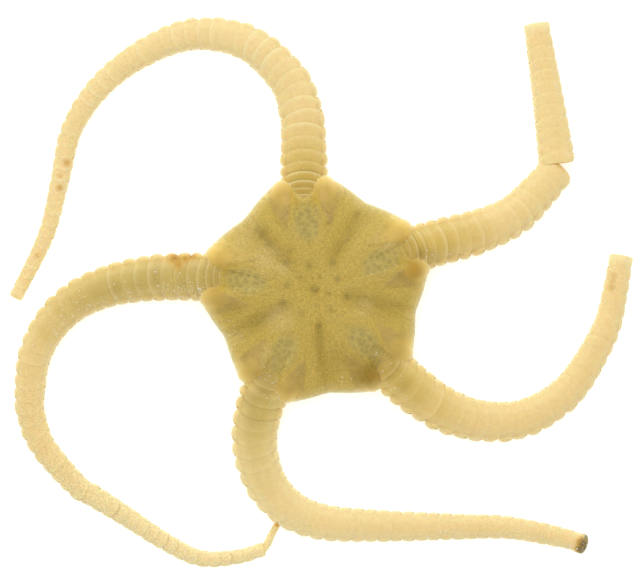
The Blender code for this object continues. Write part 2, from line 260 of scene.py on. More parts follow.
# Darker, greener patches on the disc, paler ones there, and darker ones on the arms
DISC_SHADES = [
    (1.6, -6.7, 1.7, 0.75), (-1.2, 7.2, 1.2, 0.25), (4.9, -8.3, 1.4, 2.1), (3.5, -7.0, 1.1, 0.9),
    (6.1, -8.4, 1.0, 1.9), (9.3, 2.2, 1.0, 1.4), (8.2, 1.8, 0.9, 0.7), (-8.4, -1.6, 1.1, 0.45),
    (-9.9, -1.1, 0.9, 0.45), (-4.6, 4.7, 0.6, 0.5), (-5.6, 5.9, 0.7, 0.5),
]
DISC_LIGHTS = [
    (7.2, 4.6, 0.9, 0.9), (8.0, 5.6, 0.9, 0.6), (-8.2, 5.4, 1.2, 1.0), (-7.0, 6.7, 1.0, 0.7),
    (-5.5, 3.4, 1.3, 0.75), (-3.9, 2.5, 0.8, 0.6), (-4.2, -2.5, 1.2, 0.7), (-5.3, -7.0, 1.5, 0.6),
    (-8.8, -5.0, 1.1, 0.8), (4.2, 9.0, 1.0, 0.7), (6.0, 7.6, 1.0, 0.6), (6.6, -6.5, 1.1, 0.45),
    (4.4, -1.7, 0.9, 0.5),
]
ARM_SHADES = [
    (-12.2, 0.3, 0.9, 0.4), (-14.0, 0.6, 0.8, 0.5), (-16.4, 1.3, 1.1, 0.45), (-18.3, 0.5, 0.9, 0.5),
    (-20.4, 0.2, 0.9, 0.65), (-22.2, -0.3, 1.0, 0.4), (-23.8, -1.2, 0.9, 0.3), (-10.9, 2.4, 0.6, 0.4),
    (-7.2, -10.9, 1.0, 0.7), (-6.9, -12.6, 1.2, 0.45), (-7.4, -14.0, 0.9, 0.25), (7.3, -7.6, 1.1, 1.0),
    (8.3, -9.4, 1.0, 0.7), (9.7, -10.6, 0.9, 0.25), (10.1, 3.7, 0.9, 1.4), (11.2, 3.4, 0.9, 1.0),
    (12.8, 3.9, 1.1, 0.4), (-13.3, 1.4, 2.2, 0.22), (-1.0, 12.0, 0.9, 0.35), (-0.4, 11.1, 0.6, 0.4),
    (-5.7, -9.9, 0.8, 0.8), (-5.0, -9.0, 0.7, 0.7), (6.9, -8.5, 0.8, 0.9),
]

# For the gap after each arm, in the order of HEADINGS: how far its furrow lies off the middle in degrees,
# its half width and its strength
FURROWS = np.array([
    (0.0, 0.8, 0.55), (0.3, 0.95, 0.62), (1.0, 0.95, 0.9), (-2.0, 0.65, 0.75), (-1.5, 1.1, 0.65),
])

# How dark the plates on the two sides of each gap are. Below nothing they are paler than the rest
SHIELD_SHADES = np.array([(-0.7, 0.0), (0.08, -0.7), (0.2, 0.0), (0.05, 0.35), (-0.15, 0.3)])

# Where each sheet of the skin's unrolled map lies, in millimetres on a square of MAP_SIZE. The disc's sheets
# reach RIM_DROP further out than the rim does, one turn round an arm is ARM_TURN_SIZE half widths long, and
# a small body has a patch whose half width is BODY_PATCH of the map
MAP_SIZE = 82.0
SHEETS = {
    "arm_5": (8.0, 1.0), "arm_1": (8.0, 14.0), "arm_4": (8.0, 27.0), "arm_3": (8.0, 40.0),
    "arm_2": (56.0, 40.0), "broken": (62.0, 27.0), "new_tip": (78.0, 27.0), "back": (14.0, 67.0),
    "under": (42.0, 67.0),
}
SHEET_NUMBERS = {name: number for number, name in enumerate(SHEETS)}
RIM_DROP = 1.8
ARM_TURN_SIZE = 5.2
BODY_PATCH = 0.0013

PALETTE = {
    "straw": (242, 213, 146), "ochre": (218, 185, 84), "olive": (158, 128, 38), "grey": (200, 181, 108),
    "shield": (190, 160, 86), "gold": (230, 197, 98), "pale": (254, 240, 188), "spot": (138, 117, 52),
    "amber": (210, 160, 52), "brown": (150, 106, 34), "umber": (196, 180, 138), "moss": (150, 146, 104),
    "black": (118, 98, 68),
}
MASKS = (
    "deep", "furrow", "grey", "petal", "grain", "shield", "gold", "pale", "spot", "seam", "stain", "speck",
    "tone",
)

# Between which strengths a stain takes on each of its colours, and how much of it
STAIN_STEPS = {"amber": (0.04, 0.5, 0.8), "brown": (0.4, 1.2, 0.9), "black": (1.25, 1.8, 0.95)}

# The pale line round the disc's rim, painted light for light shining through its thin edge: how pale, and
# between which shares of the radius it comes up
PAINTED_RIM_GLOW = ((0.12, 0.88, 0.96), (0.3, 0.95, 0.99), (0.4, 0.982, 0.998))

# The tone mask runs from minus to plus TONE_LIMIT, which changes the brightness by up to TONE_CONTRAST. At
# the disc's rim it rises to the last of these numbers: painted light that brightens the rim, which faces
# sideways.
TONE_LIMIT = 3.0
TONE_CONTRAST = 0.135
PAINTED_RIM_LIGHT = 2.6

# How far red, green and blue light travel in the tissue, in shares of its reach
COLOUR_REACHES = (1.0, 0.62, 0.28)

# The two colours that the floor mixes, and the colour and strength of its glow
FLOOR_COLOURS = ((0.90, 0.90, 0.895, 1.0), (0.93, 0.93, 0.925, 1.0))
FLOOR_GLOW = ((1.0, 1.0, 0.99, 1.0), 0.45)


def rgb(name):
    """A palette colour, given in display values, as the linear light that shaders take."""
    shares = [value / 255 for value in PALETTE[name]]
    return (*(c / 12.92 if c <= 0.04045 else ((c + 0.055) / 1.055) ** 2.4 for c in shares), 1.0)


def step(low, high, value):
    """0 at low, 1 at high and smooth between them."""
    t = np.clip((value - low) / (high - low), 0.0, 1.0)
    return t * t * (3 - 2 * t)


def bell(value, width):
    return np.exp(-((value / width) ** 2))


def unit(vectors):
    return vectors / np.linalg.norm(vectors, axis=-1, keepdims=True)


def ways(angles):
    """Unit vectors in the plane at those angles, in degrees."""
    return np.stack([np.cos(np.radians(angles)), np.sin(np.radians(angles))], axis=-1)


def strongest(xy, spots):
    """The strongest of some round spots at each point."""
    total = np.zeros(len(xy))
    for x, y, radius, strength in spots:
        away = np.hypot(xy[:, 0] - x, xy[:, 1] - y)
        total = np.maximum(total, strength * bell(away, radius))
    return total


# Middle lines


class Line:
    """A curve through a list of points, measured along its length. It runs on straight past both ends."""

    def __init__(self, route):
        knots = np.array(route, dtype=float)
        knots = np.vstack([2 * knots[0] - knots[1], knots, 2 * knots[-1] - knots[-2]])
        t = (np.arange(ROUTE_STEPS) / ROUTE_STEPS)[:, None]
        pieces = []
        for a, b, c, d in zip(knots, knots[1:], knots[2:], knots[3:]):
            second, third = 2 * a - 5 * b + 4 * c - d, 3 * b - a - 3 * c + d
            pieces.append(0.5 * (2 * b + (c - a) * t + second * t**2 + third * t**3))
        self.points = np.vstack([*pieces, knots[-2]])
        steps = np.linalg.norm(np.diff(self.points, axis=0), axis=1)
        self.along = np.concatenate([[0.0], np.cumsum(steps)])
        self.length = self.along[-1]

    def inside(self, s):
        return np.stack([np.interp(s, self.along, self.points[:, k]) for k in (0, 1)], axis=-1)

    def at(self, s):
        """Positions at those distances."""
        before = np.minimum(s, 0.0)[..., None] * self.heading(0.0)
        after = np.maximum(s - self.length, 0.0)[..., None] * self.heading(self.length)
        return self.inside(np.clip(s, 0.0, self.length)) + before + after

    def heading(self, s):
        near = 0.25
        a = np.clip(np.asarray(s) - near, 0.0, self.length - 2 * near)
        return unit(self.inside(a + 2 * near) - self.inside(a))

    def bend(self, s):
        """How sharply the line turns left, for each millimetre."""
        near = 0.8
        before, after = self.heading(s - near), self.heading(s + near)
        return (before[..., 0] * after[..., 1] - before[..., 1] * after[..., 0]) / (2 * near)


def taper(s):
    stations, widths = zip(*ARM_TAPER)
    return np.interp(s, stations, widths)


def joint_edges(length, from_root):
    """Where each joint begins, and the end of the last, as in the frame."""
    edges = [0.0]
    while edges[-1] < length:
        at = edges[-1] + from_root
        pitch = min(JOINT_PITCH_ROOT + JOINT_PITCH_GAIN * at, JOINT_PITCH_FULL - JOINT_PITCH_LOSS * at)
        edges.append(edges[-1] + pitch)
    return np.array(edges) * length / edges[-1]


# Meshes


class Shape:
    """Points, faces and what each point knows: its masks, and its place on an unrolled map of the skin."""

    def __init__(self):
        self.points = []
        self.faces = []
        self.masks = []
        self.places = []
        self.count = 0

    def add(self, points, faces, masks, places):
        """faces count from this block's first point. places are sheet, along, across and one turn's size."""
        self.points.append(points)
        self.faces.extend(np.asarray(f) + self.count for f in faces)
        self.masks.append(masks)
        self.places.append(places)
        self.count += len(points)

    def mesh(self, name):
        mesh = bpy.data.meshes.new(name)
        flat = np.concatenate([f.ravel() for f in self.faces])
        sizes = np.concatenate([np.full(len(f), f.shape[1]) for f in self.faces])
        mesh.vertices.add(self.count)
        mesh.vertices.foreach_set("co", (np.vstack(self.points) * MM).ravel())
        mesh.loops.add(len(flat))
        mesh.loops.foreach_set("vertex_index", flat)
        mesh.polygons.add(len(sizes))
        mesh.polygons.foreach_set("loop_start", np.concatenate([[0], np.cumsum(sizes)[:-1]]))
        mesh.update(calc_edges=True)
        return mesh


def grid_faces(rows, columns, flip=False):
    """Quads over rows of points whose columns close in a ring."""
    row, column = np.meshgrid(np.arange(rows - 1), np.arange(columns), indexing="ij")
    here = row * columns
    beyond = here + columns
    after = (column + 1) % columns
    quads = np.stack([here + column, here + after, beyond + after, beyond + column], axis=-1).reshape(-1, 4)
    return quads[:, ::-1] if flip else quads


def fan(ring, centre, flip=False):
    """Triangles from a ring of point numbers to one point."""
    ring = np.asarray(ring)
    triangles = np.stack([ring, np.roll(ring, -1), np.full(len(ring), centre)], axis=-1)
    return triangles[:, ::-1] if flip else triangles


def mask_table(count, **values):
    """A column for each mask, in the order of MASKS. Those that aren't given are nothing."""
    table = np.zeros((count, len(MASKS)))
    for name, value in values.items():
        table[:, MASKS.index(name)] = value
    return table


def mask(table, name):
    """The column of a mask, to read or write."""
    return table[:, MASKS.index(name)]


# The skin of the arms


def section_angles():
    """The directions of a section's columns in degrees from its left side, closer together by the seams."""
    even = np.linspace(-90, 270, SECTION_COLUMNS, endpoint=False)
    under = UNDER_PLATE_ANGLE - 90
    seams = (BACK_PLATE_ANGLE, 180 - BACK_PLATE_ANGLE, under, 180 - under)
    near = [seam + d for seam in seams for d in SEAM_NEARBY]
    kept = [a for a in even if min(abs((a - seam + 180) % 360 - 180) for seam in seams) > SEAM_CLEAR]
    return np.array(sorted(kept + near))


def section(angles):
    """The section's outline: x in half widths and z in heights, with a flattened underside."""
    c, s = np.cos(np.radians(angles)), np.sin(np.radians(angles))
    upper = s > 0
    power = np.where(upper, *SECTION_POWERS)
    reach = (np.abs(c) ** power + np.abs(s) ** power) ** (-1 / power)
    room = np.where(upper, 1 - SECTION_MIDDLE, SECTION_MIDDLE)
    return reach * c, SECTION_MIDDLE + room * reach * s


def from_back(angles):
    """How far each direction is from straight up, in degrees."""
    return np.abs((angles + 90) % 360 - 180)


class ArmSkin:
    """The skin of one length of arm: where its joints are, and its surface at any distance and direction.
    Every entry of its spec is an attribute too."""

    scalloped = 1.0
    pale_end = 0.0
    domed = False
    dark_joints = ()

    def __init__(self, name, spec, start=0.0, root_away=0.0, widths=None, edges=None):
        vars(self).update(spec)
        self.sheet = SHEET_NUMBERS[name]
        self.line = Line(self.route)
        self.root_away = root_away
        self.widths = widths
        outer = joint_edges(self.line.length, root_away) if edges is None else edges
        inner = np.arange(-INNER_PITCH, start - 0.01, -INNER_PITCH)[::-1] if start < 0 else []
        self.edges = np.concatenate([inner, outer])
        self.vary = np.clip(rng.normal(0.0, 1.0, (len(self.edges), 4)), -2, 2)
        self.dark = np.zeros(len(self.edges))
        for s in self.dark_joints:
            self.dark[np.argmin(np.abs(self.edges - s))] = 1.0

    def half_width(self, s):
        if self.widths:
            return np.interp(s, (0.0, self.line.length), self.widths)
        return self.girth * taper(s + self.root_away)

    def bow(self, s, angles):
        """How far back the plates' edges lie at each direction, in half widths: they bulge towards the tip,
        but less so where the arm has broken."""
        x, _ = section(angles)
        up = step(-0.4, 0.3, np.sin(np.radians(angles)))
        full = PLATE_BOW * (up * np.abs(x) ** 2.3 + (1 - up) * (0.45 + 0.55 * np.abs(x) ** 2))
        first, last = self.edges[0], self.edges[-1]
        return full * step(first, first + 1.2, s) * (0.2 + 0.8 * step(last, last - 1.3, s))

    def relief(self, u, joint, s, angles):
        """How far the plates stand out, in half widths. u runs from 0 to 1 along the joint."""
        away = from_back(angles)
        edge = SEAM_NEARBY[-1]
        back = step(BACK_SEAM + edge, BACK_SEAM - edge, away)
        under = step(UNDER_PLATE_ANGLE + edge, UNDER_PLATE_ANGLE - edge, 180 - away)
        side = 1 - np.maximum(back, under)
        vary = self.vary[joint]
        far = step(4.0, 16.0, s + self.root_away)
        near_step, far_step = BACK_STEP
        size = near_step * (0.2 + 0.8 * self.crisp) * (1 - far) + far_step * (0.5 + 0.5 * self.crisp) * far
        tile = u**1.3 * (1 - (1 - self.crisp) * step(0.72, 1.0, u)) - 0.55
        pillow = 0.8 * np.sin(np.pi * np.clip(u, 0, 1)) ** 0.7 - 0.5
        rise = size * (1 + 0.3 * vary[..., 0]) * (tile * (1 - 0.45 * far) + pillow * 0.45 * far)
        leftward = np.where(np.cos(np.radians(angles)) > 0, 1.0, -1.0)
        open_side = np.clip(0.8 - 3.2 * self.line.bend(s) * leftward, 0.35, 1.15)
        bulge = np.minimum(step(0.0, 0.5, u), 0.3 + 0.7 * step(1.1, 0.86, u)) + 0.15 * step(0.3, 0.8, u)
        scallop = SIDE_BULGE * self.scalloped * open_side * (1 + 0.2 * vary[..., 1]) * (bulge - 0.8)
        over = step(0.0, 0.5, np.cos(np.radians(away - 85)))
        seams = bell(away - BACK_SEAM, 2.0) + bell(180 - away - UNDER_PLATE_ANGLE, 2.5)
        under_rise = -0.05 * bell(u - 1.0, 0.12) - 0.05 * bell(u, 0.12)
        return back * rise + side * scallop * over + under * under_rise - SEAM_DEPTH * seams

    def surface(self, s, u, joint, angles, lift=0.0):
        """Points in millimetres at distances s and directions, which broadcast together."""
        x, z = section(angles)
        c, sn = np.cos(np.radians(angles)), np.sin(np.radians(angles))
        width = self.half_width(s)
        at = s - self.bow(s, angles) * width
        out = self.relief(u, joint, s, angles) * width + lift
        ahead = self.line.heading(at)
        left = np.stack([-ahead[..., 1], ahead[..., 0]], axis=-1)
        xy = self.line.at(at) + left * (x * width + out * c)[..., None]
        height = np.maximum(z * width * ARM_HEIGHT + out * sn, 0.0)
        return np.concatenate([xy, height[..., None]], axis=-1)

    def rows(self):
        """Distance, share of the joint and joint number of each row of points."""
        shares = np.tile(JOINT_ROWS, len(self.edges) - 1)
        joint = np.repeat(np.arange(len(self.edges) - 1), len(JOINT_ROWS))
        return self.edges[joint] + np.diff(self.edges)[joint] * shares, shares, joint

    def places(self, s, angles, stations):
        """Places on the unrolled map, where one turn round the arm suits the thickest of those stations."""
        size = self.half_width(stations).max() * ARM_TURN_SIZE
        turn = (angles + 90) % 360 / 360
        return np.column_stack([np.full(len(s), self.sheet), s, turn, np.full(len(s), size)])

    def masks(self, s, u, joint, angles, points):
        """What the shader is told of each point."""
        s, u, joint, angles = (np.broadcast_to(v, s.shape).ravel() for v in (s, u, joint, angles))
        away = from_back(angles)
        root = s + self.root_away
        vary = self.vary[joint]
        near, far = self.fade
        deep = step(far, near, s)
        # Painted light: the flanks are painted less ochre, and near the root more golden, for light shining
        # through the arm's thin sides.
        flank = 0.5 * step(45, 58, away) + 0.5 * step(50, 85, away)
        # edge is painted light: a pale band painted along each back plate's raised far edge, where light
        # catches it and shows through it.
        edge = 0.3 * bell(u - 0.94, 0.2) * step(58, 40, away)
        edge *= (1 + 0.55 * vary[:, 2]) * (1 - 0.35 * step(4, 16, root)) * (0.15 + 0.85 * self.crisp)
        # glow is painted light: a paler sheen painted over the back's sides and a paler band painted round
        # the flanks, for light shining through the edges.
        glow = 0.24 * (1 - 0.5 * self.crisp) * step(10, 38, away) + 0.4 * step(48, 84, away)
        glow *= step(132, 100, away) * (0.3 + 0.7 * step(0.0, 2.5, root))
        paler_from, paler_to, amount = self.bleached
        bleached = amount * step(paler_from, paler_to, root)
        bleached += self.pale_end * step(self.edges[-1] - 1.3, self.edges[-1] - 0.2, s)
        # groove and dark are painted shade in the gaps between plates, at each joint's foot and along the
        # seam to the side plates, deepest near the root and at dark_joints. On the old outer part of speckled
        # arms they also hold real darker joint lines.
        groove = 0.8 * bell(u, 0.15) + 0.12 * bell(away - BACK_SEAM, 2.5)
        old = step(0.6, 1.0, self.speckled) * step(30, 40, root)
        dark = 0.8 * self.crisp * step(5, 2, root) + 0.08 + 0.35 * old
        dark = dark * np.clip(1 + 0.8 * vary[:, 0], 0.1, 2.4) + 0.75 * self.dark[joint]
        banded = 0.22 * self.grey * bell(u - 0.3, 0.3) * np.clip(vary[:, 1], 0, 2) * deep
        shade = np.maximum(strongest(points, ARM_SHADES), 0.75 * step(2.4, 0.4, root)) + banded
        return mask_table(
            len(points),
            deep=np.clip(deep * (0.97 - 0.5 * flank) + 0.05 * vary[:, 3], 0, 1),
            grey=self.grey * deep * step(70, 20, away),
            pale=np.clip(edge + glow + bleached, 0, 1),
            seam=np.clip(groove * dark * step(62, 46, away), 0, 1),
            speck=self.speckled * (0.35 + 0.65 * step(18, 38, root)),
            gold=0.35 * step(14, 2, root) * flank,
            stain=strongest(points, STAINS) * step(130, 70, away),
            furrow=shade * step(100, 55, away),
        )


def end_points(arm, rim, at, outward, rings):
    """Rings of points that turn in the end of an arm from its rim, and the one in their middle."""
    middle = rim.mean(axis=0)
    middle[2] = rim[:, 2].max() * SECTION_MIDDLE
    ahead = np.append(arm.line.heading(at), 0.0) * outward
    width = float(arm.half_width(at))
    blocks = [middle + (rim - middle) * share + ahead * out * width for share, out in rings]
    return np.vstack([*blocks, middle + ahead * rings[-1][1] * width])


def end_faces(ring, first, count, flip):
    """Quads from the rim over so many rings, and a fan in the last. first is their first point's number."""
    faces = []
    for _ in range(count):
        inner = np.arange(first, first + len(ring))
        pair = np.stack([ring, np.roll(ring, -1), np.roll(inner, -1), inner], axis=-1)
        faces.append(pair[:, ::-1] if flip else pair)
        first += len(ring)
        ring = inner
    return [*faces, fan(ring, first, flip)]


def add_arm(shape, arm):
    """The skin of a length of arm, with its cut ends turned in. Broken ends are a little stained."""
    s, u, joint = arm.rows()
    angles = section_angles()
    rows, columns = len(s), len(angles)
    grid = np.broadcast_arrays(s[:, None], u[:, None], joint[:, None], angles[None, :])
    points = [arm.surface(*grid).reshape(-1, 3)]
    masks = [arm.masks(*grid, points[0])]
    places = [arm.places(grid[0].ravel(), grid[3].ravel(), s)]
    faces = [grid_faces(rows, columns)]
    total = rows * columns
    for first, at, outward, rings in (
        (0, s[0], -1.0, BROKEN_END),
        (total - columns, s[-1], 1.0, DOMED_END if arm.domed else BROKEN_END),
    ):
        rim = np.arange(first, first + columns)
        end = end_points(arm, points[0][rim], at, outward, rings)
        faces.extend(end_faces(rim, total, len(rings), outward < 0))
        total += len(end)
        stain = strongest(end, STAINS) + 0.06 * (rings is BROKEN_END)
        points.append(end)
        masks.append(mask_table(len(end), deep=0.25, stain=stain))
        places.append(np.vstack([np.tile(places[0][rim], (len(rings), 1)), places[0][first]]))
        places[-1][:, 1] = at + outward * 0.6
    shape.add(np.vstack(points), faces, np.vstack(masks), np.vstack(places))


# The skin of the disc


def arm_headings():
    """The angle at which each arm leaves the disc, in degrees, counterclockwise from +X."""
    away = [np.array(spec["route"][0]) - DISC_CENTRE for spec in ARMS.values()]
    return np.array([math.degrees(math.atan2(y, x)) % 360 for x, y in away])


NOTCHES = np.array([spec["notch"] for spec in ARMS.values()])[np.argsort(arm_headings())]
HEADINGS = np.sort(arm_headings())


def gap_size(gap):
    """The angle from one arm to the next, in degrees."""
    return (HEADINGS[(gap + 1) % 5] - HEADINGS[gap]) % 360


def disc_place(angle):
    """For each direction: the gap it is in, how far over that gap it is from one arm to the next, its angle
    from the nearest arm, and that arm's notch."""
    a = np.asarray(angle) % 360
    gap = (np.searchsorted(HEADINGS, a, side="right") - 1) % 5
    size = gap_size(gap)
    over = ((a - HEADINGS[gap]) % 360) / size
    from_arm = np.where(over < 0.5, over * size, (1 - over) * size)
    return gap, over, from_arm, NOTCHES[(gap + (over > 0.5)) % 5]


def disc_radius(angle):
    """The outline: nearly straight sides, a round lobe on each side of every arm and a notch over it."""
    _, over, from_arm, notches = disc_place(angle)
    reach = notches[..., 0]
    swell = np.minimum(1.0, np.abs(over - 0.5) / (0.5 - LOBE_TURN)) ** SIDE_SWELL_POWER
    side = SIDE_RADIUS + (LOBE_RADIUS - SIDE_RADIUS) * swell
    out = math.hypot(*LOBE_CENTRE)
    turn = math.degrees(math.atan2(LOBE_CENTRE[1], LOBE_CENTRE[0]))
    away = np.radians(from_arm - turn)
    lobe = out * np.cos(away) + np.sqrt(np.maximum(LOBE_ROUND**2 - (out * np.sin(away)) ** 2, 0.0))
    inner = turn - math.degrees(math.asin(LOBE_ROUND / out))
    notch = reach + (out * math.cos(math.radians(turn - inner)) - reach) * (from_arm / inner) ** 1.5
    return np.where(from_arm < inner, notch, np.where(from_arm < turn, lobe, np.maximum(lobe, side)))


class DiscPlace:
    """Where points lie on the disc, out along the nearest arm's axis and aside, and in which fields."""

    streaks = rng.uniform(-1, 1, (STREAK_RINGS + 1, STREAK_TURNS))

    def __init__(self, xy):
        d = xy - DISC_CENTRE
        self.angle = np.degrees(np.arctan2(d[:, 1], d[:, 0]))
        self.r = np.hypot(d[:, 0], d[:, 1])
        self.gap, self.over, self.from_arm, notches = disc_place(self.angle)
        self.out, self.aside = (self.r[:, None] * ways(self.from_arm)).T
        self.dip = notches[:, 1]

    def across_gap(self, shift=0.0):
        """How far points lie from the middle of their gap, or from a line turned off it."""
        return self.r * np.sin(np.radians((self.over - 0.5) * gap_size(self.gap) - shift))

    def streak(self):
        """Fine rays of noise that run out from the middle."""
        spoke = self.angle % 360 / (360 / STREAK_TURNS)
        ring = np.clip(self.r / STREAK_LENGTH, 0, STREAK_RINGS - 0.001)
        a, b = spoke.astype(int) % STREAK_TURNS, ring.astype(int)
        fa, fb = step(0, 1, spoke % 1), step(0, 1, ring % 1)
        beyond = (a + 1) % STREAK_TURNS
        rows = [self.streaks[b + k, a] * (1 - fa) + self.streaks[b + k, beyond] * fa for k in (0, 1)]
        return rows[0] * (1 - fb) + rows[1] * fb

    def petal(self):
        """1 inside the leaf-shaped field of larger plates that runs along each arm's axis."""
        along = (self.out - PETAL_MIDDLE) / PETAL_HALF_LENGTH
        along = np.where(along > 0, along * 1.2, along)
        return step(1.15, 0.6, np.hypot(along, self.aside / PETAL_HALF_WIDTH) + 0.1 * self.streak())

    def shield(self):
        """1 on the long three-sided plates that run out from beside each petal to the lobes."""
        beyond = self.out - SHIELD_TIP[0]
        inner, outer = (SHIELD_TIP[1] + slope * beyond for slope in SHIELD_SLOPES)
        sides = step(-0.1, 0.15, self.aside - inner) * step(-0.15, 0.2, outer - self.aside)
        return sides * step(0.0, 0.6, beyond)

    def lobe(self):
        """1 on the rounded bare ends of those plates."""
        x, y = LOBE_CENTRE
        return step(1.35, 0.8, np.hypot((self.out - x + 0.2) * 0.85, self.aside - y) / LOBE_ROUND)

    def furrow(self):
        """How deep a point is in the furrow between two arms, from 0 to 1, and how dark that furrow is."""
        shift, width, strength = FURROWS[self.gap].T
        fade = step(2.0, 4.4, self.r) * step(11.0, 6.5, self.r)
        return bell(self.across_gap(shift), width * (0.36 + 0.1 * self.r)) * fade, strength

    def arm_side(self, beyond):
        """How far points lie outside the nearest arm, taken as that much wider on each side."""
        return self.aside - (taper(self.out - ARM_ROOT) + beyond)


def back_height(xy, share):
    """The height of the disc's back before its rim is rounded off."""
    place = DiscPlace(xy)
    dome = BACK_HEIGHT + (EDGE_HEIGHT - BACK_HEIGHT) * share**3
    broad = GAP_DIP * np.sin(np.pi * place.over) ** 4 * step(0.15, 0.5, share)
    furrow, _ = place.furrow()
    over_arm = place.dip * step(12.0, 2.0, place.from_arm) * step(0.6, 1.0, share)
    relief = SHIELD_RISE * place.shield() - 0.06 * place.petal() + 0.02 * place.streak()
    dip = CENTRE_DIP * step(0.42, 0.0, share) + 0.04 * strongest(xy, DARK_PLATES)
    return dome - broad - FURROW_DEPTH * furrow - over_arm + relief - dip


def under_height(xy):
    """The underside: a mouth, a shield behind each jaw and a slit on each side of every arm."""
    place = DiscPlace(xy)
    low, high = UNDER_HEIGHT
    flat = low + (high - low) * step(5.3, SIDE_RADIUS, place.r)
    mouth = (MOUTH_DEPTH - low) * step(MOUTH_RADIUS + 0.25, MOUTH_RADIUS - 0.25, place.r)
    middle, half_length, half_width = MOUTH_SHIELD
    shield = step(1.1, 0.8, np.hypot((place.r - middle) / half_length, place.across_gap() / half_width))
    slit_start, slit_end = SLIT_REACH
    slit = bell(place.arm_side(0.16), 0.13) * step(slit_start, slit_start + 0.4, place.out)
    slit = slit * step(slit_end + 0.4, slit_end, place.out)
    return flat + mouth - 0.1 * shield + 0.45 * slit


def rim_round(share):
    """1 over the disc and nothing at its rim."""
    return np.sqrt(np.maximum(1 - share**RIM_POWER, 0.0))


def rounded(face, share):
    return RIM_HEIGHT + (face - RIM_HEIGHT) * rim_round(share)


def disc_shares():
    """Rings over the back: even ones, then the ones that round the rim, then those below."""
    turn = np.linspace(math.asin(DISC_FLAT_SHARE ** (RIM_POWER / 2)), math.pi / 2, DISC_ROUND_RINGS + 1)[1:]
    top = [np.linspace(0.0, DISC_FLAT_SHARE, DISC_FLAT_RINGS)[1:], np.sin(turn) ** (2 / RIM_POWER)]
    under = [np.sin(turn[:-1:2][::-1]) ** (2 / RIM_POWER)]
    under.append(np.linspace(DISC_FLAT_SHARE, 0.0, DISC_UNDER_RINGS)[:-1])
    return np.concatenate(top), np.concatenate(under)


def disc_masks(xy, share, on_back):
    """What the shader is told of points on the back or the underside of the disc."""
    place = DiscPlace(xy)
    furrow, strength = place.furrow()
    light = strongest(xy, DISC_LIGHTS)
    petal, shield, lobe = place.petal() * (1 - 0.6 * light), place.shield(), place.lobe()
    bare = np.maximum(shield, lobe)
    # rim paints the disc's rim less ochre, golden and brighter: painted light for the steep rim, which takes
    # less light from above.
    rim = step(DISC_FLAT_SHARE, 1.0, share)
    streak = place.streak() * step(1.5, 4.0, place.r) * (1 - petal) * (1 - 0.85 * bare)
    shade = SHIELD_SHADES[place.gap, (place.over > 0.5).astype(int)] * step(5.8, 9.0, place.r)
    dark = np.clip(furrow * strength + 0.42 * streak + bare * np.maximum(shade, 0), 0, 1)
    beside = bell(place.aside - (1.7 + 0.25 * place.r), 0.9) * step(3.0, 5.5, place.r)
    between = (1 - petal) * (1 - shield) * (1 - furrow)
    gold = (0.7 * beside + 0.15) * between + 0.08 * lobe + 0.75 * rim + 0.6 * streak
    gold += 0.7 * bare * np.maximum(-shade, 0)
    # line is painted light: a pale line round the rim for light shining through its thin edge.
    line = sum(part * step(low, high, share) for part, low, high in PAINTED_RIM_GLOW)
    return mask_table(
        len(xy),
        deep=(1.0 - 0.55 * rim) * (1 - 0.75 * light) if on_back else 0.6,
        furrow=np.maximum(dark * (1 - 0.5 * light), strongest(xy, DISC_SHADES)),
        grey=petal,
        petal=petal,
        grain=(1 - petal) * (1 - bare),
        shield=shield * (1 - 0.2 * lobe),
        gold=np.clip(gold * (1 - 0.5 * light) + 0.4 * light, 0, 1),
        # On the underside, the band that turns paler towards the rim is painted light that mirrors the rim's
        # line on the back.
        pale=np.maximum(line, 0.06 * light) if on_back else 0.25 + 0.55 * step(0.95, 1.0, share),
        spot=strongest(xy, DARK_PLATES),
        stain=strongest(xy, STAINS),
        tone=PAINTED_RIM_LIGHT * rim if on_back else 0.0,
    )


def map_spot(places):
    """Positions on the map from places, as shares of it."""
    origins = np.array(list(SHEETS.values()))[places[:, 0].astype(int)]
    across = np.where(places[:, 3] > 0, places[:, 2] * places[:, 3], places[:, 2])
    return (origins + np.column_stack([places[:, 1], across])) / MAP_SIZE


def flat_places(sheet, spots):
    """Places on a sheet that isn't rolled up."""
    return np.column_stack([np.full(len(spots), SHEET_NUMBERS[sheet]), spots, np.zeros(len(spots))])


def disc_map_places(share, angle, on_back):
    """Places on the back's or the underside's sheet, which is round."""
    reach = share * disc_radius(angle) + RIM_DROP * (1 - rim_round(share))
    return flat_places("back" if on_back else "under", ways(angle) * reach[:, None])


def disc_surface(share, angle, on_back):
    """Points on the back or the underside of the disc."""
    xy = DISC_CENTRE + ways(angle) * (share * disc_radius(angle))[:, None]
    face = back_height(xy, share) if on_back else under_height(xy)
    return np.column_stack([xy, rounded(face, share)])


def add_disc(shape):
    """The disc's skin as rings round its middle, over the back, round the rim and under to the mouth."""
    angles = np.linspace(0, 360, DISC_COLUMNS, endpoint=False)
    rings, masks, places = [], [], []
    for on_back, shares in zip((True, False), disc_shares()):
        for share in shares:
            here = np.full(DISC_COLUMNS, share)
            rings.append(disc_surface(here, angles, on_back))
            masks.append(disc_masks(rings[-1][:, :2], here, on_back))
            places.append(disc_map_places(here, angles, on_back))
    count = len(rings) * DISC_COLUMNS
    middles = [[*DISC_CENTRE, ring[:, 2].mean()] for ring in (rings[0], rings[-1])]
    faces = [
        grid_faces(len(rings), DISC_COLUMNS, flip=True),
        fan(np.arange(DISC_COLUMNS), count),
        fan(np.arange(count - DISC_COLUMNS, count), count + 1, flip=True),
    ]
    masks.append(disc_masks(np.tile(DISC_CENTRE, (2, 1)), np.zeros(2), True))
    places.extend(disc_map_places(np.zeros(1), np.zeros(1), on_back) for on_back in (True, False))
    shape.add(np.vstack([*rings, middles]), faces, np.vstack(masks), np.vstack(places))


def paint(mesh, masks):
    for k, name in enumerate(MASKS):
        layer = mesh.attributes.new(name, "FLOAT", "POINT")
        layer.data.foreach_set("value", masks[:, k].astype(np.float32))


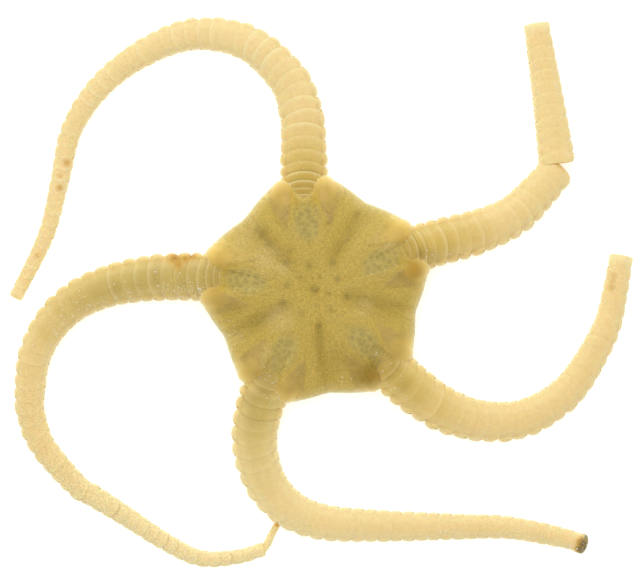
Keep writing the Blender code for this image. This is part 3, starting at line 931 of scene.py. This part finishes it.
def lay_map(mesh, places):
    """The unrolled map, closed up where a face crosses the line along which a sheet was cut open."""
    corners = np.empty(len(mesh.loops), dtype=np.int32)
    mesh.loops.foreach_get("vertex_index", corners)
    here = places[corners].copy()
    starts, sizes = np.empty((2, len(mesh.polygons)), dtype=np.int32)
    mesh.polygons.foreach_get("loop_start", starts)
    mesh.polygons.foreach_get("loop_total", sizes)
    first = here[starts][np.repeat(np.arange(len(starts)), sizes)]
    here[:, 0] = first[:, 0]
    here[:, 3] = first[:, 3]
    arms = here[:, 3] > 0
    jump = here[:, 2] - first[:, 2]
    here[arms & (jump > 0.5), 2] -= 1
    here[arms & (jump < -0.5), 2] += 1
    layer = mesh.uv_layers.new(name="OFBake")
    layer.data.foreach_set("uv", map_spot(here).astype(np.float32).ravel())


def make_object(name, mesh, material):
    obj = bpy.data.objects.new(name, mesh)
    bpy.context.scene.collection.objects.link(obj)
    mesh.materials.append(material)
    return obj


def finish(name, mesh, masks, places, material):
    """An object from a mesh, with its masks and its map."""
    paint(mesh, masks)
    lay_map(mesh, places)
    mesh.polygons.foreach_set("use_smooth", np.ones(len(mesh.polygons), dtype=bool))
    mesh.materials.clear()
    return make_object(name, mesh, material)


def union(base, others):
    """base joined with the others into one closed skin, as a new mesh."""
    for other in others:
        join = base.modifiers.new(other.name, "BOOLEAN")
        join.operation = "UNION"
        join.solver = "MANIFOLD"
        join.object = other
    graph = bpy.context.evaluated_depsgraph_get()
    mesh = bpy.data.meshes.new_from_object(base.evaluated_get(graph))
    for obj in [base, *others]:
        bpy.data.objects.remove(obj)
    return mesh


def nearest_source(mesh, points):
    """For each point of a mesh, the number of the nearest source point. Most are the very same point."""
    tree = KDTree(len(points))
    for number, point in enumerate(points * MM):
        tree.insert(point, number)
    tree.balance()
    return np.array([tree.find(vertex.co)[1] for vertex in mesh.vertices])


def make_skin(arms, material):
    """One skin over the disc and every length of arm."""
    shapes = {name: Shape() for name in ("disc", *arms)}
    add_disc(shapes["disc"])
    for name, arm in arms.items():
        add_arm(shapes[name], arm)
    named = [("skin_" + name, shape) for name, shape in shapes.items()]
    parts = [make_object(name, shape.mesh(name), material) for name, shape in named]
    mesh = union(parts[0], parts[1:])
    mesh.name = "skin"
    points, masks, places = (
        np.vstack([block for shape in shapes.values() for block in getattr(shape, key)])
        for key in ("points", "masks", "places")
    )
    source = nearest_source(mesh, points)
    return finish("skin", mesh, masks[source], places[source], material)


# Small bodies that sit on the skin


def add_bodies(shape, roots, along, wide, thick, profile, sides, masks, places):
    """Round bodies, open at the root, which is sunk in the skin. Each runs from its root along a vector, and
    wide and thick are the half axes of its section. None of them reaches below the floor."""
    turn = np.linspace(0, 2 * np.pi, sides, endpoint=False)
    rays = np.stack([np.cos(turn), np.sin(turn)], axis=-1)
    reach, share = np.array(profile[:-1]).T[..., None, None]
    count, levels = len(roots), len(reach)
    spread = wide[:, None, None] * rays[:, :1] + thick[:, None, None] * rays[:, 1:]
    body = roots[:, None, None] + along[:, None, None] * reach + spread * share
    tips = roots + along * profile[-1][0]
    points = np.concatenate([body.reshape(count, levels * sides, 3), tips[:, None]], axis=1)
    points[..., 2] = np.maximum(points[..., 2], 0.0)
    each = levels * sides + 1
    start = (np.arange(count) * each)[:, None, None]
    walls = grid_faces(levels, sides)[None] + start
    caps = fan(np.arange((levels - 1) * sides, levels * sides), each - 1)[None] + start
    patch = (rays[None] * (1 - np.clip(reach, 0, 1) * 0.8)).reshape(-1, 2)
    shift = np.tile(np.vstack([patch, [[0.0, 0.0]]]) * BODY_PATCH * MAP_SIZE, (count, 1))
    spots = np.repeat(places, each, axis=0)
    spots[:, 1] += shift[:, 0]
    spots[:, 2] += shift[:, 1] / np.where(spots[:, 3] > 0, spots[:, 3], 1.0)
    faces = [walls.reshape(-1, 4), caps.reshape(-1, 3)]
    shape.add(points.reshape(-1, 3), faces, np.repeat(masks, each, axis=0), spots)


def finish_bodies(shape, name, material):
    return finish(name, shape.mesh(name), np.vstack(shape.masks), np.vstack(shape.places), material)


def side_vectors(normals):
    """Two directions square to each normal and to each other, turned at random."""
    turn = rng.uniform(0, np.pi, len(normals))
    guide = np.column_stack([np.cos(turn), np.sin(turn), np.zeros(len(normals))])
    first = unit(np.cross(normals, guide + normals * 0.01 + np.array([0, 0, 0.001])))
    return first, np.cross(normals, first)


def on_skin(tree, points):
    """The nearest points of the skin, its normals there, and how far away they are in metres."""
    spots, normals, _, away = zip(*(tree.find_nearest(Vector(p * MM)) for p in points))
    return np.array(spots) / MM, unit(np.array(normals)), np.array(away)


def ring_stations(shares, on_back):
    """The shares at which rings of granules lie, evenly spaced over the surface."""
    face = BACK_HEIGHT if on_back else UNDER_HEIGHT[1]
    height = rounded(np.full(len(shares), face), shares)
    path = np.hypot(np.diff(shares * MEAN_RADIUS), np.diff(height))
    along = np.concatenate([[0.0], np.cumsum(path)])
    stations = np.arange(GRANULE_SPACING, along[-1], GRANULE_SPACING * GRANULE_ROW_PITCH)
    return np.interp(stations, along, shares)


def granule_places(on_back):
    """Shares and angles of granules, in rings whose granules are shifted a little at random."""
    top, under = disc_shares()
    share, angle = [], []
    for station in ring_stations(top if on_back else under[under > UNDER_GRANULES_FROM], on_back):
        count = max(5, round(2 * np.pi * station * MEAN_RADIUS / GRANULE_SPACING))
        jitter = rng.uniform(-GRANULE_JITTER, GRANULE_JITTER, (2, count)) * GRANULE_SPACING
        share.append(np.clip(station + jitter[0] / MEAN_RADIUS, 0.01, 0.9995))
        turn = rng.uniform(0, 360) + np.arange(count) * 360 / count
        angle.append(turn + np.degrees(jitter[1] / (station * MEAN_RADIUS)))
    return np.concatenate(share), np.concatenate(angle) % 360


def make_granules(name, skin_tree, material, on_back):
    """Granules over one face of the disc, left off the bare plates and where an arm covers the disc."""
    share, angle = granule_places(on_back)
    points = disc_surface(share, angle, on_back)
    place = DiscPlace(points[:, :2])
    if on_back:
        bare, shield, open_face = place.lobe(), place.shield(), True
    else:
        middle, half_length, _ = MOUTH_SHIELD
        bare = step(1.2, 1.0, np.hypot((place.r - middle) / half_length, place.over * 5 - 2.5))
        shield, open_face = 0.0, place.arm_side(0.35) >= 0
    keep = open_face & (bare < 0.55) & (shield < rng.uniform(0.5, 1.3, len(points)))
    roots, normals, away = on_skin(skin_tree, points)
    chosen = np.flatnonzero(keep & (away < GRANULE_OFF_SKIN * MM))
    share, angle, roots, normals = share[chosen], angle[chosen], roots[chosen], normals[chosen]
    size = rng.uniform(0.82, 1.1, len(chosen))[:, None]
    wide, thick = (side * GRANULE_RADIUS * size for side in side_vectors(normals))
    masks = disc_masks(points[chosen][:, :2], share, on_back)
    tone = mask(masks, "tone") + rng.normal(0, 1.3, len(chosen))
    mask(masks, "tone")[:] = np.clip(tone, -TONE_LIMIT, TONE_LIMIT)
    along = normals * GRANULE_RISE * size
    shape = Shape()
    places = disc_map_places(share, angle, on_back)
    add_bodies(shape, roots, along, wide, thick, GRANULE_PROFILE, 6, masks, places)
    return finish_bodies(shape, name, material)


def add_side_bodies(shape, arm, kind):
    """Spines or scales along both sides of an arm. Each grows from a joint and lies against the next."""
    joint = np.flatnonzero(arm.edges[:-1] >= -0.5)[:-1]
    pitch = np.diff(arm.edges)
    left = np.array(kind["angles"])
    both = np.concatenate([left, 180 - left])
    joints, angles = (v.ravel() for v in np.meshgrid(joint, both, indexing="ij"))
    angles = angles + rng.normal(0, 1.2, len(angles))
    at = np.full(len(joints), kind["at"])
    s = arm.edges[joints] + pitch[joints] * at
    width = arm.half_width(s)
    half_width, half_thick = kind["half_width"] * width, kind["half_thick"] * width
    root_lift, tip_lift = (lift * width for lift in kind["lifts"])
    span = pitch[joints] * kind["length"] * rng.uniform(0.85, 1.12, len(s))
    following = np.minimum(joints + 1, len(pitch) - 1)
    ahead = np.clip((s + span - arm.edges[following]) / pitch[following], 0, 1)
    roots = arm.surface(s, at, joints, angles, root_lift)
    raised = arm.surface(s, at, joints, angles, root_lift + 0.1)
    tips = arm.surface(s + span, ahead, following, angles, tip_lift * rng.uniform(0.7, 1.3, len(s)))
    tips[:, 2] = np.maximum(tips[:, 2], half_thick * 0.6)
    roots[:, 2] = np.maximum(roots[:, 2], half_thick)
    along = tips - roots
    wide = unit(np.cross(along, unit(raised - roots + np.array([0, 0, 1e-6]))))
    thick = unit(np.cross(wide, along))
    masks = arm.masks(s, np.full(len(s), 0.5), joints, angles, roots)
    # Painted light: the spines are painted half as ochre and at least 0.8 pale, so that they don't look dark
    # in the shaded notches between side plates.
    mask(masks, "deep")[:] *= 0.5
    mask(masks, "pale")[:] = np.maximum(mask(masks, "pale"), 0.8)
    mask(masks, "tone")[:] = rng.normal(0, 0.7, len(s))
    mask(masks, "seam")[:] = 0
    axes = wide * half_width[:, None], -thick * half_thick[:, None]
    add_bodies(shape, roots, along, *axes, kind["profile"], 6, masks, arm.places(s, angles, arm.edges))


def make_side_bodies(name, kind, arms, material):
    """Spines on the far edge of every side plate, or flat scales over the holes of the tube feet."""
    shape = Shape()
    for arm_name, arm in arms.items():
        if arm_name != "new_tip":
            add_side_bodies(shape, arm, kind)
    return finish_bodies(shape, name, material)


def make_papillae(material):
    """Small blunt plates along the edges of the jaws and teeth at their tips."""
    roots, along = [], []
    for gap in range(5):
        half = gap_size(gap) / 2
        turn = math.radians(HEADINGS[gap] + half)
        out = np.array([math.cos(turn), math.sin(turn), 0.0])
        left = np.array([-out[1], out[0], 0.0])
        centre = np.append(DISC_CENTRE, PAPILLA_HEIGHT)
        for side in (-1, 1):
            for station in PAPILLA_STATIONS:
                edge = math.tan(math.radians(half)) * station * JAW_SHARE
                roots.append(centre + out * station + left * side * (edge - PAPILLA_INSET))
                along.append((left * side - out * 0.35) * PAPILLA_LENGTH)
        for height in TOOTH_HEIGHTS:
            roots.append(centre + out * TOOTH_STATION + np.array([0, 0, height - PAPILLA_HEIGHT]))
            along.append(-out * TOOTH_LENGTH)
    roots, along = np.array(roots), np.array(along)
    up = np.tile([0.0, 0.0, 1.0], (len(roots), 1))
    wide, thick = unit(np.cross(along, up)) * PAPILLA_HALF_WIDTH, -up * PAPILLA_HALF_THICK
    masks = mask_table(len(roots), deep=0.5, pale=0.6)
    places = flat_places("under", roots[:, :2] - DISC_CENTRE)
    shape = Shape()
    add_bodies(shape, roots, along, wide, thick, SPINE_PROFILE, 8, masks, places)
    return finish_bodies(shape, "mouth_papillae", material)


def add_crumbs(shape, roots, normals, places, sizes):
    """Small rough bodies on the skin at those points."""
    wide, thick = side_vectors(normals)
    size = (rng.uniform(*sizes, len(roots)) * rng.choice([1.0, 1.0, 1.5], len(roots)))[:, None]
    along, masks = normals * size * 1.2, mask_table(len(roots))
    add_bodies(shape, roots, along, wide * size, thick * size, CRUMB_PROFILE, 5, masks, places)
    points = shape.points[-1]
    points += rng.normal(0, 0.16, points.shape) * np.repeat(size, len(points) // len(roots), axis=0)


def clustered(count, reach):
    """Random shares of a length that gather in small groups."""
    middles = rng.uniform(0, 1, max(4, count // 9))
    return np.clip(rng.choice(middles, count) + rng.normal(0, reach, count), 0.01, 0.99)


def make_crumbs(arms, skin_tree, material):
    """Tiny near-white specks on the skin, most of them on the sides that face the bottom of the view."""
    shape = Shape()
    for name, part in CRUMB_SHARES.items():
        arm = arms[name]
        count = round(CRUMBS * part) * CRUMB_TRIES
        share = clustered(count, 0.02)
        share = share**1.4 if name == "arm_5" else share
        s = CRUMBS_FROM + share * (arm.line.length - CRUMBS_FROM)
        angles = rng.uniform(20, 160, count)
        joint = np.clip(np.searchsorted(arm.edges, s, side="right") - 1, 0, len(arm.edges) - 2)
        u = (s - arm.edges[joint]) / np.diff(arm.edges)[joint]
        roots = arm.surface(s, u, joint, angles)
        normals = unit(arm.surface(s, u, joint, angles, 0.1) - roots)
        downward = -(np.cos(np.radians(angles)) * arm.line.heading(s)[:, 0])
        keep = rng.uniform(-0.35, 1.0, count) < downward
        places = arm.places(s, angles, arm.edges)
        add_crumbs(shape, roots[keep], normals[keep], places[keep], CRUMB_SIZES)
    share = 1 - 0.2 * rng.uniform(0, 1, DISC_CRUMBS) ** 3
    first, last = DISC_CRUMB_ARC
    angle = first + (last - first) * clustered(DISC_CRUMBS, 0.03)
    roots, normals, _ = on_skin(skin_tree, disc_surface(np.minimum(share, 0.985), angle, True))
    places = disc_map_places(share, angle, True)
    add_crumbs(shape, roots + normals * GRANULE_RISE, normals, places, CRUMB_SIZES)
    return finish_bodies(shape, "pale_specks", material)


def make_crust(arm, material):
    """Dark grains on the crumbled end of the fourth arm, which thin out along it."""
    end = arm.line.length
    width = float(arm.half_width(end))
    ahead = np.append(arm.line.heading(end), 0.0)
    s = end - CRUST_DEPTH * rng.uniform(0, 1, CRUST_GRAINS) ** 3
    angles = rng.uniform(-40, 220, CRUST_GRAINS)
    last = np.full(CRUST_GRAINS, len(arm.edges) - 2)
    rim = arm.surface(s, np.full(CRUST_GRAINS, 0.98), last, angles)
    middle = np.append(arm.line.at(end), width * ARM_HEIGHT * SECTION_MIDDLE)
    shares, outs = zip((1.0, 0.0), *DOMED_END)
    on_end = rng.uniform(0, 1, CRUST_GRAINS) < 0.7
    share = np.where(on_end, np.sqrt(rng.uniform(0.12, 1.0, CRUST_GRAINS)), 1.0)[:, None]
    out = np.interp(share, shares[::-1], outs[::-1])
    roots = middle + (rim - middle) * share + ahead * out * width
    normals = unit(roots - middle + ahead * 0.3)
    shape = Shape()
    add_crumbs(shape, roots, normals, arm.places(s, angles, arm.edges), CRUST_SIZES)
    return finish_bodies(shape, "dark_crust", material)


# Materials


class Graph:
    """A material and its shader graph. What its functions take are sockets, numbers or colours."""

    def __init__(self, name, roughness=0.45, soft=0.3, reach=0.6):
        """Waxy tissue: reach is how far light travels in it, in millimetres."""
        self.material = bpy.data.materials.new(name)
        self.material.use_nodes = True
        self.tree = self.material.node_tree
        self.shader = self.tree.nodes["Principled BSDF"]
        self.put(self.shader, "Roughness", roughness)
        self.put(self.shader, "Subsurface Weight", soft)
        self.put(self.shader, "Subsurface Scale", reach * MM)
        self.put(self.shader, "Subsurface Radius", COLOUR_REACHES)
        self.put(self.shader, "Specular IOR Level", 0.35)

    def put(self, made, key, value):
        """Sets a node's input to a number or colour, or links a socket to it."""
        if isinstance(value, (int, float, tuple)):
            made.inputs[key].default_value = value
        else:
            self.tree.links.new(value, made.inputs[key])

    def node(self, kind, inputs, **settings):
        """A new node with its inputs and settings."""
        made = self.tree.nodes.new("ShaderNode" + kind)
        for key, value in settings.items():
            setattr(made, key, value)
        for key, value in inputs.items():
            self.put(made, key, value)
        return made

    def attribute(self, name):
        return self.node("Attribute", {}, attribute_name=name).outputs["Fac"]

    def calc(self, operation, a, b, clamp=False):
        return self.node("Math", {0: a, 1: b}, operation=operation, use_clamp=clamp).outputs[0]

    def times(self, a, *others):
        for other in others:
            a = self.calc("MULTIPLY", a, other)
        return a

    def blend(self, amount, under, over, mode="MIX"):
        """over laid on under by amount. Both may be names of colours."""
        under, over = (rgb(value) if isinstance(value, str) else value for value in (under, over))
        inputs = {0: amount, 6: under, 7: over}
        return self.node("Mix", inputs, data_type="RGBA", blend_type=mode, clamp_factor=True).outputs[2]

    def remap(self, value, low, high, to_low=0.0, to_high=1.0):
        inputs = {"Value": value, "From Min": low, "From Max": high, "To Min": to_low, "To Max": to_high}
        return self.node("MapRange", inputs, clamp=True).outputs["Result"]

    def own_place(self):
        return self.node("TexCoord", {}).outputs["Object"]

    def map_place(self, along, across):
        """The place on the unrolled map, in cells of which there are so many for each millimetre."""
        uv = self.node("UVMap", {}, uv_map="OFBake").outputs["UV"]
        inputs = {"Vector": uv, "Scale": (along * MAP_SIZE, across * MAP_SIZE, 1.0)}
        return self.node("Mapping", inputs).outputs["Vector"]

    def noise(self, per_mm, detail=3.0, rough=0.55):
        """Noise in the object's own coordinates."""
        inputs = {"Vector": self.own_place(), "Scale": per_mm / MM, "Detail": detail, "Roughness": rough}
        return self.node("TexNoise", inputs).outputs["Fac"]

    def striation(self, along, across):
        """Noise drawn out along the arms."""
        inputs = {"Vector": self.map_place(along, across), "Scale": 1.0, "Detail": 2.0}
        return self.node("TexNoise", inputs, noise_dimensions="2D").outputs["Fac"]

    def plate_cells(self, per_mm, feature="F1"):
        """Distance from the middle, or from the border, of the nearest of some uneven plates."""
        inputs = {"Vector": self.map_place(per_mm, per_mm), "Scale": 1.0, "Randomness": 1.0}
        return self.node("TexVoronoi", inputs, voronoi_dimensions="2D", feature=feature).outputs["Distance"]

    def cells(self, per_mm):
        """Distance from the middle of the nearest of some uneven cells."""
        inputs = {"Vector": self.own_place(), "Scale": per_mm / MM}
        return self.node("TexVoronoi", inputs).outputs["Distance"]

    def finish(self, colour, height, strength, depth):
        """Gives the shader its colour and bumps: depth is how far their full height stands out, in mm."""
        self.put(self.shader, "Base Color", colour)
        bump = self.node("Bump", {"Strength": strength, "Distance": depth * MM, "Height": height})
        self.put(self.shader, "Normal", bump.outputs["Normal"])
        return self.material


def tissue_colour(g):
    """The body's colours, from the masks and noise, with the painted light and shade that some masks carry.
    The skin and all that sits on it share them.
    """
    broad = g.remap(g.noise(0.35, detail=4.0), 0.35, 0.65)
    fine = g.remap(g.noise(2.2, detail=4.0, rough=0.6), 0.3, 0.7)
    plates = g.remap(g.plate_cells(1.6), 0.2, 0.56, 1.0, 0.0)
    borders = g.remap(g.plate_cells(1.6, "DISTANCE_TO_EDGE"), 0.02, 0.2, 1.0, 0.0)
    net = g.remap(g.plate_cells(3.0), 0.1, 0.55, 1.0, 0.0)
    cloud = g.remap(g.noise(1.1, detail=4.0, rough=0.65), 0.36, 0.62, 0.62, 1.0)
    deep = g.calc("ADD", g.attribute("deep"), g.remap(broad, 0.0, 1.0, -0.06, 0.06), clamp=True)
    colour = g.blend(deep, "straw", "ochre")
    colour = g.blend(g.times(g.attribute("grey"), 0.72), colour, "grey")
    colour = g.blend(g.times(g.attribute("shield"), cloud), colour, "shield")
    # gold is partly painted light: the disc's rim, and the arms' flanks near the root, are painted golden.
    colour = g.blend(g.attribute("gold"), colour, "gold")
    furrowed = g.times(g.attribute("furrow"), g.remap(fine, 0.0, 1.0, 0.5, 1.0))
    colour = g.blend(g.times(furrowed, 0.7), colour, "olive")
    colour = g.blend(g.times(net, g.attribute("grain"), 0.22), colour, "spot")
    colour = g.blend(g.times(borders, g.attribute("petal"), 0.35), colour, "gold")
    dark = g.calc("MAXIMUM", g.times(plates, g.attribute("petal"), 0.27), g.times(g.attribute("spot"), 0.5))
    colour = g.blend(dark, colour, "spot")
    # pale is partly painted light: the glow on the arms' sides and the disc's rim, the plates' pale far edges
    # and the paler spines.
    colour = g.blend(g.attribute("pale"), colour, "pale")
    return stained(g, colour, fine)


def stained(g, colour, fine):
    """Darker seams, stains and a fine mottle over the tissue's colour."""
    # seam is painted shade in the gaps between plates, with real darker joint lines on old arm parts.
    colour = g.blend(g.times(g.attribute("seam"), 0.42), colour, "olive")
    ragged = g.times(g.attribute("stain"), g.remap(fine, 0.0, 1.0, 0.55, 1.35))
    for name, (low, high, most) in STAIN_STEPS.items():
        colour = g.blend(g.remap(ragged, low, high, 0.0, most), colour, name)
    # tone holds random differences between granules and spines, and painted light that brightens the disc's
    # rim.
    tone = g.remap(g.attribute("tone"), -TONE_LIMIT, TONE_LIMIT, -TONE_CONTRAST, TONE_CONTRAST)
    dots = g.remap(g.noise(7.0, detail=2.0, rough=0.7), 0.36, 0.64, -0.17, 0.13)
    speckle = g.times(g.attribute("speck"), dots)
    light = g.calc("ADD", g.remap(fine, 0.0, 1.0, 0.955, 1.035), g.calc("ADD", tone, speckle))
    shade = g.node("CombineColor", {"Red": light, "Green": light, "Blue": light})
    return g.blend(1.0, colour, shade.outputs[0], mode="MULTIPLY")


def skin_material():
    g = Graph("skin", soft=0.55, reach=0.8)
    lines = g.striation(0.9, 7.0)
    colour = g.blend(g.remap(lines, 0.5, 0.72, 0.0, 0.06), tissue_colour(g), "ochre")
    grain = g.times(g.remap(g.cells(9.0), 0.0, 0.8), -0.35)
    ripple = g.noise(5.0, detail=4.0)
    g.put(g.shader, "Roughness", g.remap(ripple, 0.3, 0.7, 0.36, 0.52))
    return g.finish(colour, g.calc("ADD", grain, g.calc("ADD", ripple, g.times(lines, 0.2))), 0.5, 0.03)


def granule_material():
    g = Graph("granules", reach=0.35)
    return g.finish(tissue_colour(g), g.noise(14.0), 0.4, 0.012)


def mouth_material():
    """Denser, whiter stone of the jaws, turning olive towards the edges of uneven cells."""
    g = Graph("jaw_stone", roughness=0.4, soft=0.25, reach=0.4)
    colour = g.blend(g.remap(g.noise(3.0, detail=5.0, rough=0.65), 0.35, 0.65), "ochre", "pale")
    colour = g.blend(g.remap(g.cells(3.5), 0.35, 0.7, 0.0, 0.5), colour, "olive")
    return g.finish(colour, g.noise(9.0, detail=4.0), 0.6, 0.04)


def crumb_material():
    g = Graph("pale_speck", roughness=0.2, soft=0.0)
    g.put(g.shader, "Base Color", g.blend(g.remap(g.noise(6.0), 0.3, 0.7), "pale", (1.0, 1.0, 0.97, 1.0)))
    g.put(g.shader, "Specular IOR Level", 0.6)
    return g.material


def crust_material():
    g = Graph("dark_crust", roughness=0.7, soft=0.0)
    grain = g.remap(g.noise(6.0, detail=4.0, rough=0.7), 0.35, 0.65)
    colour = g.blend(grain, "moss", "umber")
    colour = g.blend(g.remap(g.noise(1.6), 0.45, 0.65, 0.0, 0.6), colour, "black")
    colour = g.blend(g.remap(g.noise(4.0), 0.55, 0.7, 0.0, 0.8), colour, "pale")
    return g.finish(colour, grain, 0.8, 0.03)


# Floor, light and camera


def make_floor():
    g = Graph("floor", roughness=0.75, soft=0.0)
    speckle = g.remap(g.noise(0.05, detail=5.0), 0.3, 0.7)
    glow, strength = FLOOR_GLOW
    g.put(g.shader, "Base Color", g.blend(speckle, *FLOOR_COLOURS))
    g.put(g.shader, "Emission Color", glow)
    g.put(g.shader, "Emission Strength", strength)
    half = FLOOR_SIZE / 2
    mesh = bpy.data.meshes.new("floor")
    corners = [(-half, -half, 0), (half, -half, 0), (half, half, 0), (-half, half, 0)]
    mesh.from_pydata(corners, [], [(0, 1, 2, 3)])
    make_object("floor", mesh, g.material)


def make_lights():
    for name, (where, size, power) in LIGHTS.items():
        lamp = bpy.data.lights.new(name, "AREA")
        lamp.shape = "DISK"
        lamp.size = size
        lamp.energy = power
        obj = bpy.data.objects.new(name, lamp)
        obj.location = where
        obj.rotation_euler = (-Vector(where)).to_track_quat("-Z", "Y").to_euler()
        bpy.context.scene.collection.objects.link(obj)
    world = bpy.data.worlds.new("studio")
    bpy.context.scene.world = world
    world.use_nodes = True
    background = world.node_tree.nodes["Background"]
    background.inputs["Color"].default_value = (1.0, 1.0, 1.0, 1.0)
    background.inputs["Strength"].default_value = WORLD_LIGHT


def make_camera():
    data = bpy.data.cameras.new("camera")
    data.sensor_width = SENSOR_WIDTH
    data.lens = SENSOR_WIDTH * (CAMERA_HEIGHT - VIEW_HEIGHT_OF_SUBJECT) / VIEW_WIDTH
    data.clip_start, data.clip_end = 0.01, 10.0
    camera = bpy.data.objects.new("camera", data)
    camera.location = (*VIEW_CENTRE, CAMERA_HEIGHT)
    bpy.context.scene.collection.objects.link(camera)
    bpy.context.scene.camera = camera


def hold(piece, replaces=()):
    """Rides the piece on the one body and hides the parts of the frame that it stands for."""
    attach(piece, "root")
    if replaces:
        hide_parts(*replaces)


def skin_bvh(skin):
    mesh = skin.data
    corners = [tuple(polygon.vertices) for polygon in mesh.polygons]
    return BVHTree.FromPolygons([vertex.co for vertex in mesh.vertices], corners)


def make_arms():
    """The lengths of arm. The first five start inside the disc, and the new tip has short even joints."""
    arms = {name: ArmSkin(name, spec, -INNER_LENGTH) for name, spec in ARMS.items()}
    arms["broken"] = ArmSkin("broken", BROKEN_LENGTH, root_away=BROKEN_FROM_ROOT)
    length = Line(NEW_TIP["route"]).length
    edges = np.linspace(0.0, length, round(length / NEW_TIP_PITCH) + 1)
    widths = NEW_TIP_HALF_WIDTHS
    arms["new_tip"] = ArmSkin("new_tip", NEW_TIP, root_away=NEW_TIP_FROM_ROOT, widths=widths, edges=edges)
    return arms


def main():
    make_camera()
    arms = make_arms()
    skin = make_skin(arms, skin_material())
    hold(skin, [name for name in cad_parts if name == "disc" or name.startswith("arm_")])
    tree = skin_bvh(skin)
    granules = granule_material()
    hold(make_granules("back_granules", tree, granules, True))
    hold(make_granules("under_granules", tree, granules, False))
    hold(make_side_bodies("arm_spines", SPINES, arms, granules))
    hold(make_side_bodies("arm_scales", SCALES, arms, granules))
    hold(make_papillae(granules))
    hold(make_crumbs(arms, tree, crumb_material()))
    hold(make_crust(arms["arm_4"], crust_material()))
    jaw_stone = mouth_material()
    for name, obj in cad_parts.items():
        if name.startswith("jaw_"):
            obj.data.materials.clear()
            obj.data.materials.append(jaw_stone)
    make_floor()
    make_lights()
    view = bpy.context.scene.view_settings
    view.view_transform = "Standard"
    view.look = "None"


main()
